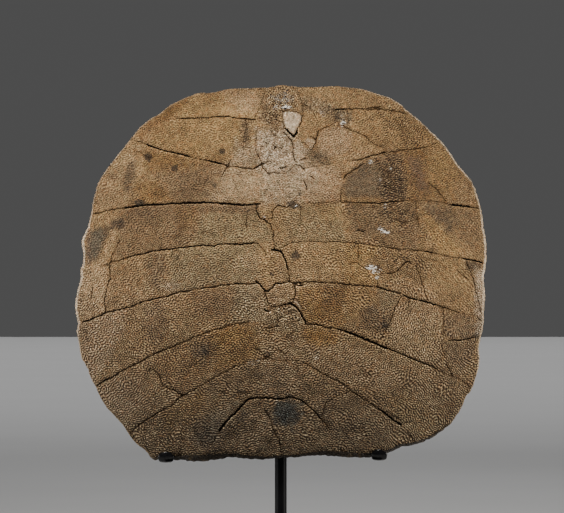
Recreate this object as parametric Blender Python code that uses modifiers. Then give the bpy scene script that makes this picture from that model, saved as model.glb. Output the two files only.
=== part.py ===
"""Fossil carapace of a softshell turtle, held upright on a black steel display stand.

The frame is in metres with +Z up. The domed outer side of the carapace faces -Y, and the origin is
under the middle of the object, on the surface that the stand rests on.
"""

import math

import bmesh
import bpy
import numpy as np
from mathutils import Vector
from mathutils.bvhtree import BVHTree

# Driving dimensions of the carapace
CARAPACE_WIDTH = 0.440
CARAPACE_BOTTOM_Z = 0.125
CROWN_Y = -0.050
SIDE_DROP = 0.066
END_DROP = 0.040
DOME_POWER = 2.4
BONE_THICKNESS = 0.0085
NEURAL_THICKENING = 0.0035
RIB_HEIGHT = 0.0045
VERTEBRA_HEIGHT = 0.009
GROOVE_HALF_WIDTH = 0.0016
GROOVE_DEPTH = 0.0022
NEURAL_GROOVE_DEPTH = 0.0012
EDGE_ROUNDING = 0.0020
NUCHAL_BOSS_HEIGHT = 0.0035
NUCHAL_BOSS_RADIUS = 0.020

# Driving dimensions of the stand
BASE_LENGTH = 0.240
BASE_DEPTH = 0.180
BASE_THICKNESS = 0.012
BASE_CORNER_RADIUS = 0.010
BASE_EDGE_BEVEL = 0.0015
COLLAR_RADIUS = 0.015
COLLAR_HEIGHT = 0.026
COLLAR_CHAMFER = 0.003
POST_RADIUS = 0.00635
POST_Y = 0.0200
POST_TOP_Z = 0.408
POST_END_BEVEL = 0.002
ROD_RADIUS = 0.003
LOWER_ROD_Z = 0.152
PAD_Z = 0.379
ARM_STRAIGHT = 0.012
ARM_REACH = 0.075
ARM_RETURN = 0.034
ARM_STEPS = 12
PAD_RADIUS = 0.011
PAD_THICKNESS = 0.004
PAD_X = 0.104
CLAW_WIDTH = 0.0175
CLAW_THICKNESS = 0.0035
CLAW_LIP_HEIGHT = 0.0075
CLAW_CORNER_RADIUS = 0.0045
CLAW_LEG_TOP_Z = 0.160
GAP = 0.0003

# The photograph's pixels, in which the outline, the sutures and the claws were surveyed
PHOTO_LEFT = 75.0
PHOTO_RIGHT = 486.5
PHOTO_TOP = 85.0
PHOTO_BOTTOM = 461.5
LEFT_CLAW_PX = 166.0
RIGHT_CLAW_PX = 379.0
NUCHAL_BOSS_PX = (282.0, 100.0)
METRES_PER_PIXEL = CARAPACE_WIDTH / (PHOTO_RIGHT - PHOTO_LEFT)
MIDLINE_PX = (PHOTO_LEFT + PHOTO_RIGHT) / 2

# The lines that part the carapace into bands, top to bottom: the top margin, the eight sutures
# from nuchal and first costals to seventh and eighth costals, and the bottom margin. Each has its
# left branch, from the rim to the neural bones, the point on the midline, and its right branch.
LINES = (
    (
        ((178, 101.5), (190, 96.5), (200, 93), (211, 93), (228, 89.5), (250, 88), (268, 87)),
        (281, 85),
        ((296, 87), (333, 86), (351, 88), (368, 91), (382, 95.5), (395, 100.5)),
    ),
    (
        ((152, 118), (178, 118.5), (205, 118), (228, 116.5), (256, 120)),
        (278, 116),
        ((300, 112), (340, 109.5), (385, 109.5), (409.5, 113.5)),
    ),
    (
        ((130.5, 139.5), (147, 144.5), (175, 153.5), (215, 162), (240, 168), (254, 169.5), (261, 165.5)),
        (279, 165),
        ((296, 164), (320, 166), (350, 160.5), (380, 154), (410, 149.5), (443, 143.5)),
    ),
    (
        ((90, 215), (113, 209.5), (147, 205), (190, 203), (230, 204), (260, 204.5)),
        (280, 204),
        ((300, 203), (350, 202), (380, 203), (415, 200), (440, 201.5), (480, 208.5)),
    ),
    (
        ((83, 272), (110, 263), (150, 252), (190, 247), (228, 243.5), (257, 243)),
        (274, 243),
        ((290, 242), (335, 241.5), (375, 246), (425, 250.5), (455, 258), (485, 263.5)),
    ),
    (
        ((77.5, 323), (106, 312.5), (142, 302.5), (180, 292.5), (214, 286.5), (257, 282.5)),
        (271, 285),
        ((286, 281.5), (330, 282), (370, 286.5), (408, 297), (448, 308.5), (482.5, 320)),
    ),
    (
        ((96, 387), (122, 371), (150, 356.5), (180, 342.5), (214, 330), (252, 321.5)),
        (278, 320),
        ((305, 322.5), (335, 328.5), (376, 344), (420, 362), (447, 374), (471, 388)),
    ),
    (
        ((128, 434), (148, 419), (184, 396), (215, 378.5), (238, 366), (258, 359)),
        (280, 360),
        ((300, 361), (328, 376), (358, 395), (382, 411.5), (397, 423), (414, 444.5)),
    ),
    (
        ((211, 460), (217, 437), (232, 418), (248, 400.5), (256, 397.5), (266, 397.5)),
        (276, 398.5),
        ((288, 397), (297, 398.5), (312, 409), (323, 421), (332, 437), (337, 455.8)),
    ),
    (
        ((228, 457), (240, 457.5), (255, 458.5), (268, 458)),
        (279, 457.5),
        ((290, 456.8), (305, 456), (320, 455)),
    ),
)

# The rim between the ends of one line and the next, top to bottom, without those ends
LEFT_RIM = (
    ((170, 105.5), (160, 113)),
    ((140, 127.5),),
    ((119, 154), (108, 167.5), (100, 179.5), (96, 191)),
    ((87, 227), (83.5, 240), (83.5, 262)),
    ((80, 282), (77, 291), (75, 302), (75.5, 312)),
    ((76.5, 332), (78, 345), (80.5, 358), (86, 368)),
    ((101, 399), (108, 409), (117, 417.5)),
    ((140, 448.5), (153, 460.5), (164, 459), (176, 458), (190, 461), (200, 461.5)),
    ((219, 458.5),),
)
RIGHT_RIM = (
    ((402, 106),),
    ((420, 121), (430, 131)),
    ((460, 168), (470, 179), (476, 192)),
    ((482.5, 222), (485.5, 236), (486.5, 250)),
    ((483.5, 275), (484.5, 290), (484, 305)),
    ((478.5, 348), (479.5, 358), (478, 369)),
    ((463, 404), (449, 425), (426, 440)),
    ((395, 450.5), (386, 455), (372, 457), (357, 458)),
    ((328, 455.2),),
)

# Cells of the carapace's mesh
COSTAL_CELLS = 12
CURVE_STEPS = 8
BAND_ROWS = (0.28, 0.5, 0.72)
RIM_REACH = 0.18

# Materials, as colour, roughness and metallic value
FOSSIL_BONE = ((0.36, 0.25, 0.14, 1.0), 0.78, 0.0)
BLACK_STEEL = ((0.012, 0.012, 0.013, 1.0), 0.35, 0.6)
BLACK_FELT = ((0.02, 0.02, 0.02, 1.0), 0.95, 0.0)


def clear_scene():
    for obj in list(bpy.data.objects):
        bpy.data.objects.remove(obj)


def new_collection(name):
    collection = bpy.data.collections.new(name)
    bpy.context.scene.collection.children.link(collection)
    return collection


def new_material(name, look):
    colour, roughness, metallic = look
    material = bpy.data.materials.new(name)
    material.use_nodes = True
    shader = material.node_tree.nodes["Principled BSDF"]
    shader.inputs["Base Color"].default_value = colour
    shader.inputs["Roughness"].default_value = roughness
    shader.inputs["Metallic"].default_value = metallic
    return material


def add_object(name, data, collection, material):
    obj = bpy.data.objects.new(name, data)
    obj.data.materials.append(material)
    collection.objects.link(obj)
    return obj


def mesh_from(name, bm):
    mesh = bpy.data.meshes.new(name)
    bmesh.ops.recalc_face_normals(bm, faces=bm.faces[:])
    bm.to_mesh(mesh)
    bm.free()
    return mesh


def shade_round(mesh):
    mesh.shade_smooth()
    mesh.set_sharp_from_angle(angle=math.radians(35))


def on_object(point):
    """The (x, z) in metres of a point given in the photograph's pixels."""
    px, py = point
    return np.array(
        [
            (px - MIDLINE_PX) * METRES_PER_PIXEL,
            CARAPACE_BOTTOM_Z + (PHOTO_BOTTOM - py) * METRES_PER_PIXEL,
        ]
    )


CENTRE_Z = on_object((MIDLINE_PX, (PHOTO_TOP + PHOTO_BOTTOM) / 2))[1]
HALF_LENGTH = (PHOTO_BOTTOM - PHOTO_TOP) * METRES_PER_PIXEL / 2


def smooth_curve(points):
    """A Catmull-Rom curve through the points, as a dense chain of points."""
    points = [np.asarray(p, float) for p in points]
    ends = [2 * points[0] - points[1], *points, 2 * points[-1] - points[-2]]
    chain = [points[0]]
    for before, start, stop, after in zip(ends, ends[1:], ends[2:], ends[3:]):
        for step in range(1, CURVE_STEPS + 1):
            t = step / CURVE_STEPS
            chain.append(
                0.5
                * (
                    2 * start
                    + (stop - before) * t
                    + (2 * before - 5 * start + 4 * stop - after) * t**2
                    + (3 * start - 3 * stop + after - before) * t**3
                )
            )
    return np.array(chain)


def length_of(chain):
    return np.linalg.norm(np.diff(chain, axis=0), axis=1).sum()


def along(chain, distances):
    """Points at the given distances along a chain of points."""
    steps = np.linalg.norm(np.diff(chain, axis=0), axis=1)
    reached = np.concatenate([[0.0], np.cumsum(steps)])
    return np.stack([np.interp(distances, reached, chain[:, k]) for k in range(chain.shape[1])], axis=1)


def branch_points(branch):
    """Mesh points from the rim to the neural bones, with a narrow cell at each end."""
    chain = smooth_curve([on_object(p) for p in branch])
    length = length_of(chain)
    stations = np.linspace(EDGE_ROUNDING, length - GROOVE_HALF_WIDTH, COSTAL_CELLS + 1)
    return along(chain, np.concatenate([[0.0], stations, [length]]))


def line_points(line):
    """Mesh points of one line, left rim to right rim."""
    left, middle, right = line
    left_points = branch_points(left)
    right_points = branch_points(right[::-1])[::-1]
    centre = on_object(middle)
    inner_left = step_towards(left_points[-1], centre, GROOVE_HALF_WIDTH)
    inner_right = step_towards(right_points[0], centre, GROOVE_HALF_WIDTH)
    return np.vstack([left_points, inner_left, centre, inner_right, right_points])


def step_towards(start, goal, distance):
    return start + (goal - start) * distance / np.linalg.norm(goal - start)


def row_shares(upper, lower):
    """Shares of the way from the upper to the lower line at which a band has its rows, by column."""
    heights = np.linalg.norm(lower - upper, axis=1)
    shoulder = np.minimum(GROOVE_HALF_WIDTH / heights, 0.2)
    inner = [np.full_like(shoulder, share) for share in BAND_ROWS]
    return [np.zeros_like(shoulder), shoulder, *inner, 1 - shoulder]


def band_rows(upper, lower, left_rim, right_rim):
    """Rows of mesh points from the upper line to just above the lower one, bulging with the rim."""
    rim_chains = (
        smooth_curve([upper[0], *[on_object(p) for p in left_rim], lower[0]]),
        smooth_curve([upper[-1], *[on_object(p) for p in right_rim], lower[-1]]),
    )
    reached = np.linspace(0.0, 1.0, len(upper))
    weights = (
        np.clip(1 - reached / RIM_REACH, 0, 1) ** 2,
        np.clip(1 - (1 - reached) / RIM_REACH, 0, 1) ** 2,
    )
    rows = []
    for share in row_shares(upper, lower):
        row = upper + (lower - upper) * share[:, None]
        for chain, weight, end in zip(rim_chains, weights, (0, -1)):
            on_rim = along(chain, [share[end] * length_of(chain)])[0]
            row = row + weight[:, None] * (on_rim - row[end])
        rows.append(row)
    return rows


def carapace_grid():
    """All rows of the carapace as (x, z), and the numbers of the rows that run along a suture."""
    lines = [line_points(line) for line in LINES]
    rows = []
    sutures = []
    for band, (upper, lower) in enumerate(zip(lines, lines[1:])):
        if band:
            sutures.append(len(rows))
        rows.extend(band_rows(upper, lower, LEFT_RIM[band], RIGHT_RIM[band]))
    rows.append(lines[-1])
    return np.array(rows), sutures


def dome_y(x, z):
    """The smooth outer side: a dome that falls away to the sides more than to the ends."""
    side = np.abs(x) / (CARAPACE_WIDTH / 2)
    end = np.abs(z - CENTRE_Z) / HALF_LENGTH
    boss_x, boss_z = on_object(NUCHAL_BOSS_PX)
    boss = np.exp(-((x - boss_x) ** 2 + (z - boss_z) ** 2) / NUCHAL_BOSS_RADIUS**2)
    drop = SIDE_DROP * side**DOME_POWER + END_DROP * end**DOME_POWER
    return CROWN_Y + drop - NUCHAL_BOSS_HEIGHT * boss


def inner_y(x, z, rib_share):
    """The inner side: thicker along the vertebrae and along the rib fused to each costal."""
    across = np.abs(x) / (CARAPACE_WIDTH / 2)
    spine = np.exp(-((x / 0.011) ** 2))
    neural = np.exp(-((x / 0.030) ** 2))
    rib = rib_share * RIB_HEIGHT * np.clip(1.15 - across, 0, 1)
    return dome_y(x, z) + BONE_THICKNESS + NEURAL_THICKENING * neural + VERTEBRA_HEIGHT * spine + rib


def build_carapace(collection, material):
    grid, sutures = carapace_grid()
    rows, columns = grid.shape[:2]
    rows_per_band = len(BAND_ROWS) + 3
    rib_rows = [row for row in range(rows) if row % rows_per_band == rows_per_band // 2]
    neural_columns = (COSTAL_CELLS + 2, columns - COSTAL_CELLS - 3)

    outer = dome_y(grid[..., 0], grid[..., 1])
    outer[sutures] += GROOVE_DEPTH
    outer[:, neural_columns] += NEURAL_GROOVE_DEPTH
    outer[[0, -1]] += EDGE_ROUNDING
    outer[:, [0, -1]] += EDGE_ROUNDING
    ribs = np.zeros((rows, columns))
    ribs[rib_rows] = 1.0
    inner = inner_y(grid[..., 0], grid[..., 1], ribs)

    bm = bmesh.new()
    bmesh.ops.create_grid(bm, x_segments=columns - 1, y_segments=rows - 1, size=1.0)
    cell_of = {}
    for vertex in bm.verts:
        column = round((vertex.co.x + 1) / 2 * (columns - 1))
        row = round((1 - vertex.co.y) / 2 * (rows - 1))
        x, z = grid[row, column]
        vertex.co = (x, outer[row, column], z)
        cell_of[vertex.co.to_tuple(7)] = (row, column)
    layer = bmesh.ops.extrude_face_region(bm, geom=bm.faces[:], use_keep_orig=True)
    for vertex in layer["geom"]:
        if isinstance(vertex, bmesh.types.BMVert):
            vertex.co.y = inner[cell_of[vertex.co.to_tuple(7)]]
    mesh = mesh_from("carapace", bm)
    shade_round(mesh)
    return add_object("carapace", mesh, collection, material)


def surface_of(obj):
    bm = bmesh.new()
    bm.from_mesh(obj.data)
    tree = BVHTree.FromBMesh(bm)
    bm.free()
    return tree


def build_base(collection, material):
    bm = bmesh.new()
    bmesh.ops.create_cube(bm, size=1.0)
    bmesh.ops.scale(bm, vec=(BASE_LENGTH, BASE_DEPTH, BASE_THICKNESS), verts=bm.verts)
    bmesh.ops.translate(bm, vec=(0, 0, BASE_THICKNESS / 2), verts=bm.verts)
    upright = [e for e in bm.edges if abs(e.verts[0].co.z - e.verts[1].co.z) > BASE_THICKNESS / 2]
    bmesh.ops.bevel(bm, geom=upright, offset=BASE_CORNER_RADIUS, segments=5, profile=0.5, affect="EDGES")
    base = add_object("base_plate", mesh_from("base_plate", bm), collection, material)
    bevel = base.modifiers.new("edges", "BEVEL")
    bevel.width = BASE_EDGE_BEVEL
    bevel.segments = 2
    bevel.limit_method = "ANGLE"
    bevel.angle_limit = math.radians(40)
    return base


def build_collar(collection, material):
    """A turned ring on the base, in which the post stands."""
    bore = POST_RADIUS + GAP
    foot = BASE_THICKNESS + GAP
    top = foot + COLLAR_HEIGHT
    profile = (
        (bore, top),
        (COLLAR_RADIUS - COLLAR_CHAMFER, top),
        (COLLAR_RADIUS, top - COLLAR_CHAMFER),
        (COLLAR_RADIUS, foot),
        (bore, foot),
    )
    bm = bmesh.new()
    corners = [bm.verts.new((r, 0, z)) for r, z in profile]
    for start, stop in zip(corners, corners[1:] + corners[:1]):
        bm.edges.new((start, stop))
    mesh = bpy.data.meshes.new("post_collar")
    bm.to_mesh(mesh)
    bm.free()
    collar = add_object("post_collar", mesh, collection, material)
    collar.location = (0, POST_Y, 0)
    screw = collar.modifiers.new("turn", "SCREW")
    screw.steps = screw.render_steps = 32
    screw.use_merge_vertices = True
    screw.merge_threshold = 0.00001
    return collar


def build_post(collection, cutters, material):
    foot = BASE_THICKNESS + GAP
    bm = bmesh.new()
    bmesh.ops.create_cone(
        bm,
        cap_ends=True,
        segments=32,
        radius1=POST_RADIUS,
        radius2=POST_RADIUS,
        depth=POST_TOP_Z - foot,
    )
    top_edges = [e for e in bm.edges if all(v.co.z > 0 for v in e.verts)]
    bmesh.ops.bevel(bm, geom=top_edges, offset=POST_END_BEVEL, segments=3, profile=0.5, affect="EDGES")
    mesh = mesh_from("post", bm)
    shade_round(mesh)
    post = add_object("post", mesh, collection, material)
    post.location = (0, POST_Y, (POST_TOP_Z + foot) / 2)
    for name, height in (("lower_hole", LOWER_ROD_Z), ("upper_hole", PAD_Z)):
        drill = post.modifiers.new(name, "BOOLEAN")
        drill.object = build_drill(name, height, cutters, material)
        drill.operation = "DIFFERENCE"
    return post


def build_drill(name, height, cutters, material):
    bm = bmesh.new()
    radius = ROD_RADIUS + GAP
    bmesh.ops.create_cone(bm, cap_ends=True, segments=16, radius1=radius, radius2=radius, depth=6 * POST_RADIUS)
    drill = add_object(name, mesh_from(name, bm), cutters, material)
    drill.location = (0, POST_Y, height)
    drill.rotation_euler = (0, math.pi / 2, 0)
    drill.hide_render = True
    drill.display_type = "WIRE"
    return drill


def build_rod(name, path, collection, material):
    """A round rod along a path, a curve with a bevel and filled ends."""
    curve = bpy.data.curves.new(name, "CURVE")
    curve.dimensions = "3D"
    curve.bevel_depth = ROD_RADIUS
    curve.bevel_resolution = 2
    curve.use_fill_caps = True
    spline = curve.splines.new("POLY")
    spline.points.add(len(path) - 1)
    for point, place in zip(spline.points, path):
        point.co = (*place, 1.0)
    return add_object(name, curve, collection, material)


def build_lower_rod(collection, material, left_x, right_x):
    reach = CLAW_WIDTH / 2
    path = [(left_x - reach, POST_Y, LOWER_ROD_Z), (right_x + reach, POST_Y, LOWER_ROD_Z)]
    return build_rod("lower_crossbar", path, collection, material)


def lean_of(x, z):
    """How fast the outer side runs back, per metre to the right and per metre upward."""
    step = 0.001
    depth = float(dome_y(x, z))
    return (float(dome_y(x + step, z)) - depth) / step, (float(dome_y(x, z + step)) - depth) / step


def pad_seat(surface, x):
    """Where a pad's face rests on the inner side, and the way out from there."""
    across, upward = lean_of(x, PAD_Z)
    normal = Vector((-across, 1.0, -upward)).normalized()
    turn = normal.to_track_quat("Z", "Y")
    far = Vector((x, 0.1, PAD_Z))
    reaches = []
    for radius in (0.0, PAD_RADIUS / 2, PAD_RADIUS):
        for step in range(24):
            angle = step * math.tau / 24
            start = far + turn @ Vector((radius * math.cos(angle), radius * math.sin(angle), 0))
            reaches.append(surface.ray_cast(start, -normal)[3])
    return far - normal * (min(reaches) - GAP), normal


def build_pad(name, place, normal, collection, material):
    bm = bmesh.new()
    bmesh.ops.create_cone(
        bm, cap_ends=True, segments=24, radius1=PAD_RADIUS, radius2=PAD_RADIUS, depth=PAD_THICKNESS
    )
    mesh = mesh_from(name, bm)
    shade_round(mesh)
    pad = add_object(name, mesh, collection, material)
    pad.location = place + normal * (PAD_THICKNESS / 2)
    pad.rotation_euler = normal.to_track_quat("Z", "Y").to_euler()
    return pad


def arm_path(place, normal):
    """From the post out to a pad in one wide bend, ending square to the pad's back."""
    side = math.copysign(1.0, place.x)
    start = Vector((side * ARM_STRAIGHT, POST_Y, PAD_Z))
    leave = start + Vector((side * ARM_REACH, 0, 0))
    end = place + normal * (PAD_THICKNESS + GAP)
    arrive = end + normal * ARM_RETURN
    path = []
    for step in range(ARM_STEPS + 1):
        t = step / ARM_STEPS
        path.append(
            start * (1 - t) ** 3
            + leave * (3 * t * (1 - t) ** 2)
            + arrive * (3 * t**2 * (1 - t))
            + end * t**3
        )
    return path


def build_upper_rod(collection, material, seats):
    """A rod through the post whose arms bend forward to the pads."""
    left, right = (arm_path(*seat) for seat in seats)
    return build_rod("upper_crossbar", left[::-1] + right, collection, material)


def rim_facts(surface, x):
    """Lowest height of the rim over a claw's width, and the outer side's nearest depth just above."""
    places = [x + share * CLAW_WIDTH for share in (-0.55, -0.4, -0.2, 0.0, 0.2, 0.4, 0.55)]
    heights = []
    for place in places:
        edge = float(dome_y(place, CARAPACE_BOTTOM_Z))
        for step in range(-8, 24):
            hit = surface.ray_cast(Vector((place, edge + step * 0.0005, 0)), Vector((0, 0, 1)))[0]
            if hit is not None:
                heights.append(hit.z)
    floor = min(heights)
    across, upward = lean_of(x, floor)
    depths = []
    for place in places:
        for height in (0.001, 0.003, 0.005, 0.008):
            start = Vector((place, -0.3, floor + height))
            hit = surface.ray_cast(start, Vector((0, 1, 0)))[0]
            if hit is not None:
                depths.append(hit.y - across * (place - x) - upward * height)
    return floor, min(depths), across, upward


def build_claw(name, surface, x, collection, material):
    """A bent steel strip: down behind the rim, forward under it and up in front of it."""
    floor, depth, across, upward = rim_facts(surface, x)
    half = CLAW_THICKNESS / 2
    leg_y = POST_Y + ROD_RADIUS + GAP + half
    sole_z = floor - GAP - half
    lip_y = depth - GAP - half * math.hypot(1.0, across, upward)
    lip_top = floor + CLAW_LIP_HEIGHT
    bend = 0.003
    path = (
        (leg_y, CLAW_LEG_TOP_Z, 0.0),
        (leg_y, sole_z + bend, 0.0),
        (leg_y - bend, sole_z, 0.0),
        (lip_y + bend, sole_z, 1.0),
        (lip_y, sole_z + bend, 1.0),
        (lip_y + upward * (lip_top - floor), lip_top, 1.0),
    )
    bm = bmesh.new()
    side = [bm.verts.new((-CLAW_WIDTH / 2, y, z)) for y, z, _ in path]
    edges = [bm.edges.new(pair) for pair in zip(side, side[1:])]
    swept = bmesh.ops.extrude_edge_only(bm, edges=edges)
    for vertex in swept["geom"]:
        if isinstance(vertex, bmesh.types.BMVert):
            vertex.co.x += CLAW_WIDTH
    turned = {(round(y, 6), round(z, 6)): turn for y, z, turn in path}
    for vertex in bm.verts:
        turn = turned[(round(vertex.co.y, 6), round(vertex.co.z, 6))]
        vertex.co.y += turn * across * vertex.co.x
    tips = [v for v in bm.verts if v.co.z > lip_top - 0.001 and v.co.y < leg_y - 0.006]
    bmesh.ops.bevel(bm, geom=tips, offset=CLAW_CORNER_RADIUS, segments=3, profile=0.5, affect="VERTICES")
    mesh = mesh_from(name, bm)
    claw = add_object(name, mesh, collection, material)
    claw.location = (x, 0, 0)
    solidify = claw.modifiers.new("strip", "SOLIDIFY")
    solidify.thickness = CLAW_THICKNESS
    solidify.offset = 0
    solidify.use_even_offset = True
    bevel = claw.modifiers.new("edges", "BEVEL")
    bevel.width = 0.0008
    bevel.segments = 2
    bevel.limit_method = "ANGLE"
    bevel.angle_limit = math.radians(50)
    return claw


def main():
    clear_scene()
    parts = new_collection("turtle_carapace_on_stand")
    cutters = new_collection("cutters")
    bone = new_material("fossil_bone", FOSSIL_BONE)
    steel = new_material("black_steel", BLACK_STEEL)
    felt = new_material("black_felt", BLACK_FELT)

    carapace = build_carapace(parts, bone)
    surface = surface_of(carapace)
    left_x = on_object((LEFT_CLAW_PX, PHOTO_BOTTOM))[0]
    right_x = on_object((RIGHT_CLAW_PX, PHOTO_BOTTOM))[0]

    build_base(parts, steel)
    build_collar(parts, steel)
    build_post(parts, cutters, steel)
    build_lower_rod(parts, steel, left_x, right_x)
    build_claw("left_claw", surface, left_x, parts, steel)
    build_claw("right_claw", surface, right_x, parts, steel)
    seats = [pad_seat(surface, x) for x in (-PAD_X, PAD_X)]
    build_pad("left_pad", *seats[0], parts, felt)
    build_pad("right_pad", *seats[1], parts, felt)
    build_upper_rod(parts, steel, seats)


main()
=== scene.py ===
"""Looks of the fossil turtle carapace on its stand: the bone's fine shape and every finish."""

import math

import bpy
import numpy as np
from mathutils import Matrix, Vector
from mathutils.geometry import delaunay_2d_cdt

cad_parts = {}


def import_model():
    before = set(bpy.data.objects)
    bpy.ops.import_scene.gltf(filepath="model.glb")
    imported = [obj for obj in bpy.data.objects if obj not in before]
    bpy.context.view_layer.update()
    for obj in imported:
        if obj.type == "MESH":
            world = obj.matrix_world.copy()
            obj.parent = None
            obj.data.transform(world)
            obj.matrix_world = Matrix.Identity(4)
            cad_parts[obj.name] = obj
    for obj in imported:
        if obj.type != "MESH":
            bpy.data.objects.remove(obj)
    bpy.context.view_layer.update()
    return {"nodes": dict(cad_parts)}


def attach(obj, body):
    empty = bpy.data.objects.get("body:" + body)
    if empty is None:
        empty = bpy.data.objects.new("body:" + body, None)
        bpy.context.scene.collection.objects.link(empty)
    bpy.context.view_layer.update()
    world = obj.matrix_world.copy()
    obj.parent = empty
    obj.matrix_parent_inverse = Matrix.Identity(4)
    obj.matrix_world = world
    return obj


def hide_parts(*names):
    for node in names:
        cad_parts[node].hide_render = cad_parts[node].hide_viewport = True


# The photograph's frame, and the scale at the rim of the carapace
PHOTO_WIDTH = 564
PHOTO_HEIGHT = 513
CARAPACE_WIDTH = 0.440
PHOTO_LEFT = 75.0
PHOTO_RIGHT = 486.5
PHOTO_TOP = 85.0
PHOTO_BOTTOM = 461.5
MIDLINE_PX = (PHOTO_LEFT + PHOTO_RIGHT) / 2
PX = CARAPACE_WIDTH / (PHOTO_RIGHT - PHOTO_LEFT)
MM = 0.001

# The carapace's form, as in the CAD
CARAPACE_BOTTOM_Z = 0.125
CROWN_Y = -0.050
SIDE_DROP = 0.066
END_DROP = 0.040
DOME_POWER = 2.4
NUCHAL_BOSS_HEIGHT = 0.0035
NUCHAL_BOSS_RADIUS = 0.020
NUCHAL_BOSS_PX = (282.0, 100.0)

# Its inner side: thickness of the bone, ridges of the ribs and the spine, sutures and tone
BONE_THICKNESS = 0.0085
NEURAL_THICKENING = 0.0035
NEURAL_HALF_WIDTH = 0.030
RIB_HEIGHT = 0.0045
RIB_REACH = 1.15
VERTEBRA_HEIGHT = 0.009
VERTEBRA_HALF_WIDTH = 0.011
VERTEBRA_LENGTH = 0.043
VERTEBRA_WAIST = 0.18
SPINE_HALF_WIDTH = 0.012
INNER_LUMPS = 0.25 * MM
INNER_SETTLING = 0.012
SUTURE_NEARNESS = 0.9 * MM
SUTURE_STRENGTH = 0.80
SUTURE_BAND = 11 * MM
SUTURE_WAVER = 0.7 * MM
INNER_BASE_TONE = 0.70
INNER_RIB_TONE = 0.50
INNER_SPINE_TONE = 0.45
INNER_CLOUD_TONE = 0.16
INNER_COVER_TONE = 0.10
INNER_SHADES = (0.45, 1.7)
INNER_PIT_GAIN = 0.30
INNER_SHARE = 0.15

# Its stains and coarse places: share of the wide and of the small waves, level, and the most
INNER_STAINS = (0.6, 0.5, 0.35, 0.75)
INNER_COARSENESS = (-0.2, 0.5, 0.0, 0.6)

# Camera, at the height of the photograph's centre
CAMERA_DISTANCE = 4.0
SENSOR_WIDTH = 36.0
CLIP_END = 100.0

# Mesh of the carapace
FRONT_SPACING = 0.00139
BACK_SPACING = 0.0068
BACK_JITTER = 0.5
LATTICE_JITTER = 0.2
JITTER_CLEARANCE = 1.2
SNAP_SHARE = 0.5
SNAP_STRENGTH = 0.28
SNAP_ROUNDS = 6
LEAST_AREA = 0.25
FLAT_AREA = 1e-9
OUTLINE_STEPS = 4
OUTLINE_ROUGHNESS = 0.16 * PX
RIM_REACH = 0.012
CRACK_REACH = 0.006
CRACK_STEP = 1.9 * PX
CRACK_JITTER = 0.27 * PX
BACK_CLEARANCE = 0.55
CDT_TOLERANCE = 1e-9

# The broken edge: depth of each ring, its spread where the rim is pale or dark, and its paleness, a painted
# highlight
RIM_DEPTHS = (0.9 * MM, 3.2 * MM, 6.0 * MM, 8.5 * MM)
RIM_SPREADS = (0.62, 1.0, 0.92, 0.45)
UNDER_SPREADS = (0.10, 0.62, 1.0, 0.80)
RIM_HIGHLIGHT_SHARES = (0.90, 0.85, 0.50, 0.20)
STRAY_DISTANCE = 1.5 * PX
DOUBLE_DISTANCE = 1e-6
RIM_SMOOTHING = 3
LAST_RING_SMOOTHING = 4

# Its chips: how far apart the rings lie in their waves, how far they reach across, and, in
# millimetres, how far in depth, with what the dark edge adds to that
RING_STRIDE = 3
RIM_CHIPPING = 0.16 * MM
RIM_CHIP_LIMITS = (-2.0, 1.0)
RIM_WAVINESS = 0.25
UNDER_WAVINESS = 0.35

# Its tone: the painted shade of the underside, lighter on lumps but not where all is dark, and its pits,
# calmer under the painted highlight
UNDER_SHADE = 1.4
MOST_SHADE = 0.97
LUMP_LEVEL = 0.5
LUMP_LIGHTENING = 0.55
ALL_DARK = 0.9
RIM_INNER_SHARE = 0.6
RIM_PIT_GAIN = 0.55
HIGHLIGHT_RIM_CALM = 0.4

# Relief of the outer face, outward
PIT_RELIEF = 0.08 * MM
ROUGH_RELIEF = 0.45 * MM
ROUGH_LIMITS = (-1.8, 1.2)
LUMP_RELIEF = 0.55 * MM
SMALL_LUMP_SHARE = 0.35
CRACK_DEPTH = 1.5 * MM
CRACK_CALM = 1.6 * MM
GROOVE_HALF_WIDTH = 0.42
EDGE_ROUNDING = 1.3 * MM
EDGE_ROUNDING_REACH = 1.7 * MM

# Sums of plane waves: their number, their length in millimetres, its spread, and their tilt in depth
PIT_WAVES = (20, 2.52, 0.13, 0.35)
ROUGH_WAVES = (16, 5.2, 0.3, 0.3)
LUMP_WAVES = (14, 34.0, 0.45, 0.3)
SMALL_LUMP_WAVES = (14, 11.0, 0.3, 0.3)
WARP_WAVES = (10, 38.0, 0.4, 0.2)
EDGE_WAVES = (12, 7.0, 0.4, 0.6)
SEED = 20

# The pitting: its gain from bottom to top, and a bias that says how much of it is hollow
PIT_HEIGHTS = (0.0, 0.25, 0.45, 0.65, 0.85, 1.0)
PIT_GAINS = (2.00, 1.60, 1.12, 0.84, 0.74, 0.72)
PIT_GAIN_LIMITS = (0.05, 2.6)
PIT_BIAS_LOW = 0.32
PIT_BIAS_HIGH = -0.30
PIT_BIAS_DEEP = 0.35
PIT_BIAS_WORN = 0.3
PIT_LIMIT = 1.7

# The frame of the pitting, in millimetres: finer across and drawn out upwards near the top
PIT_FRAME_BOTTOM = 130.0
PIT_FRAME_HEIGHT = 390.0
PIT_ACROSS_BELOW = 0.97
PIT_ACROSS_GROWTH = 0.17
PIT_UPWARD_GROWTH = 0.09
PIT_WARP = 1.3

# Borders of the painted areas
FRAYING = 0.6
PATCH_UNEVENNESS = 0.18
PATCH_REACH = 1.35
PATCH_FADE = 0.8
PATCH_POWER = 1.2
ZONE_UNEVENNESS = 0.16
ZONE_MARGIN = 4

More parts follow.
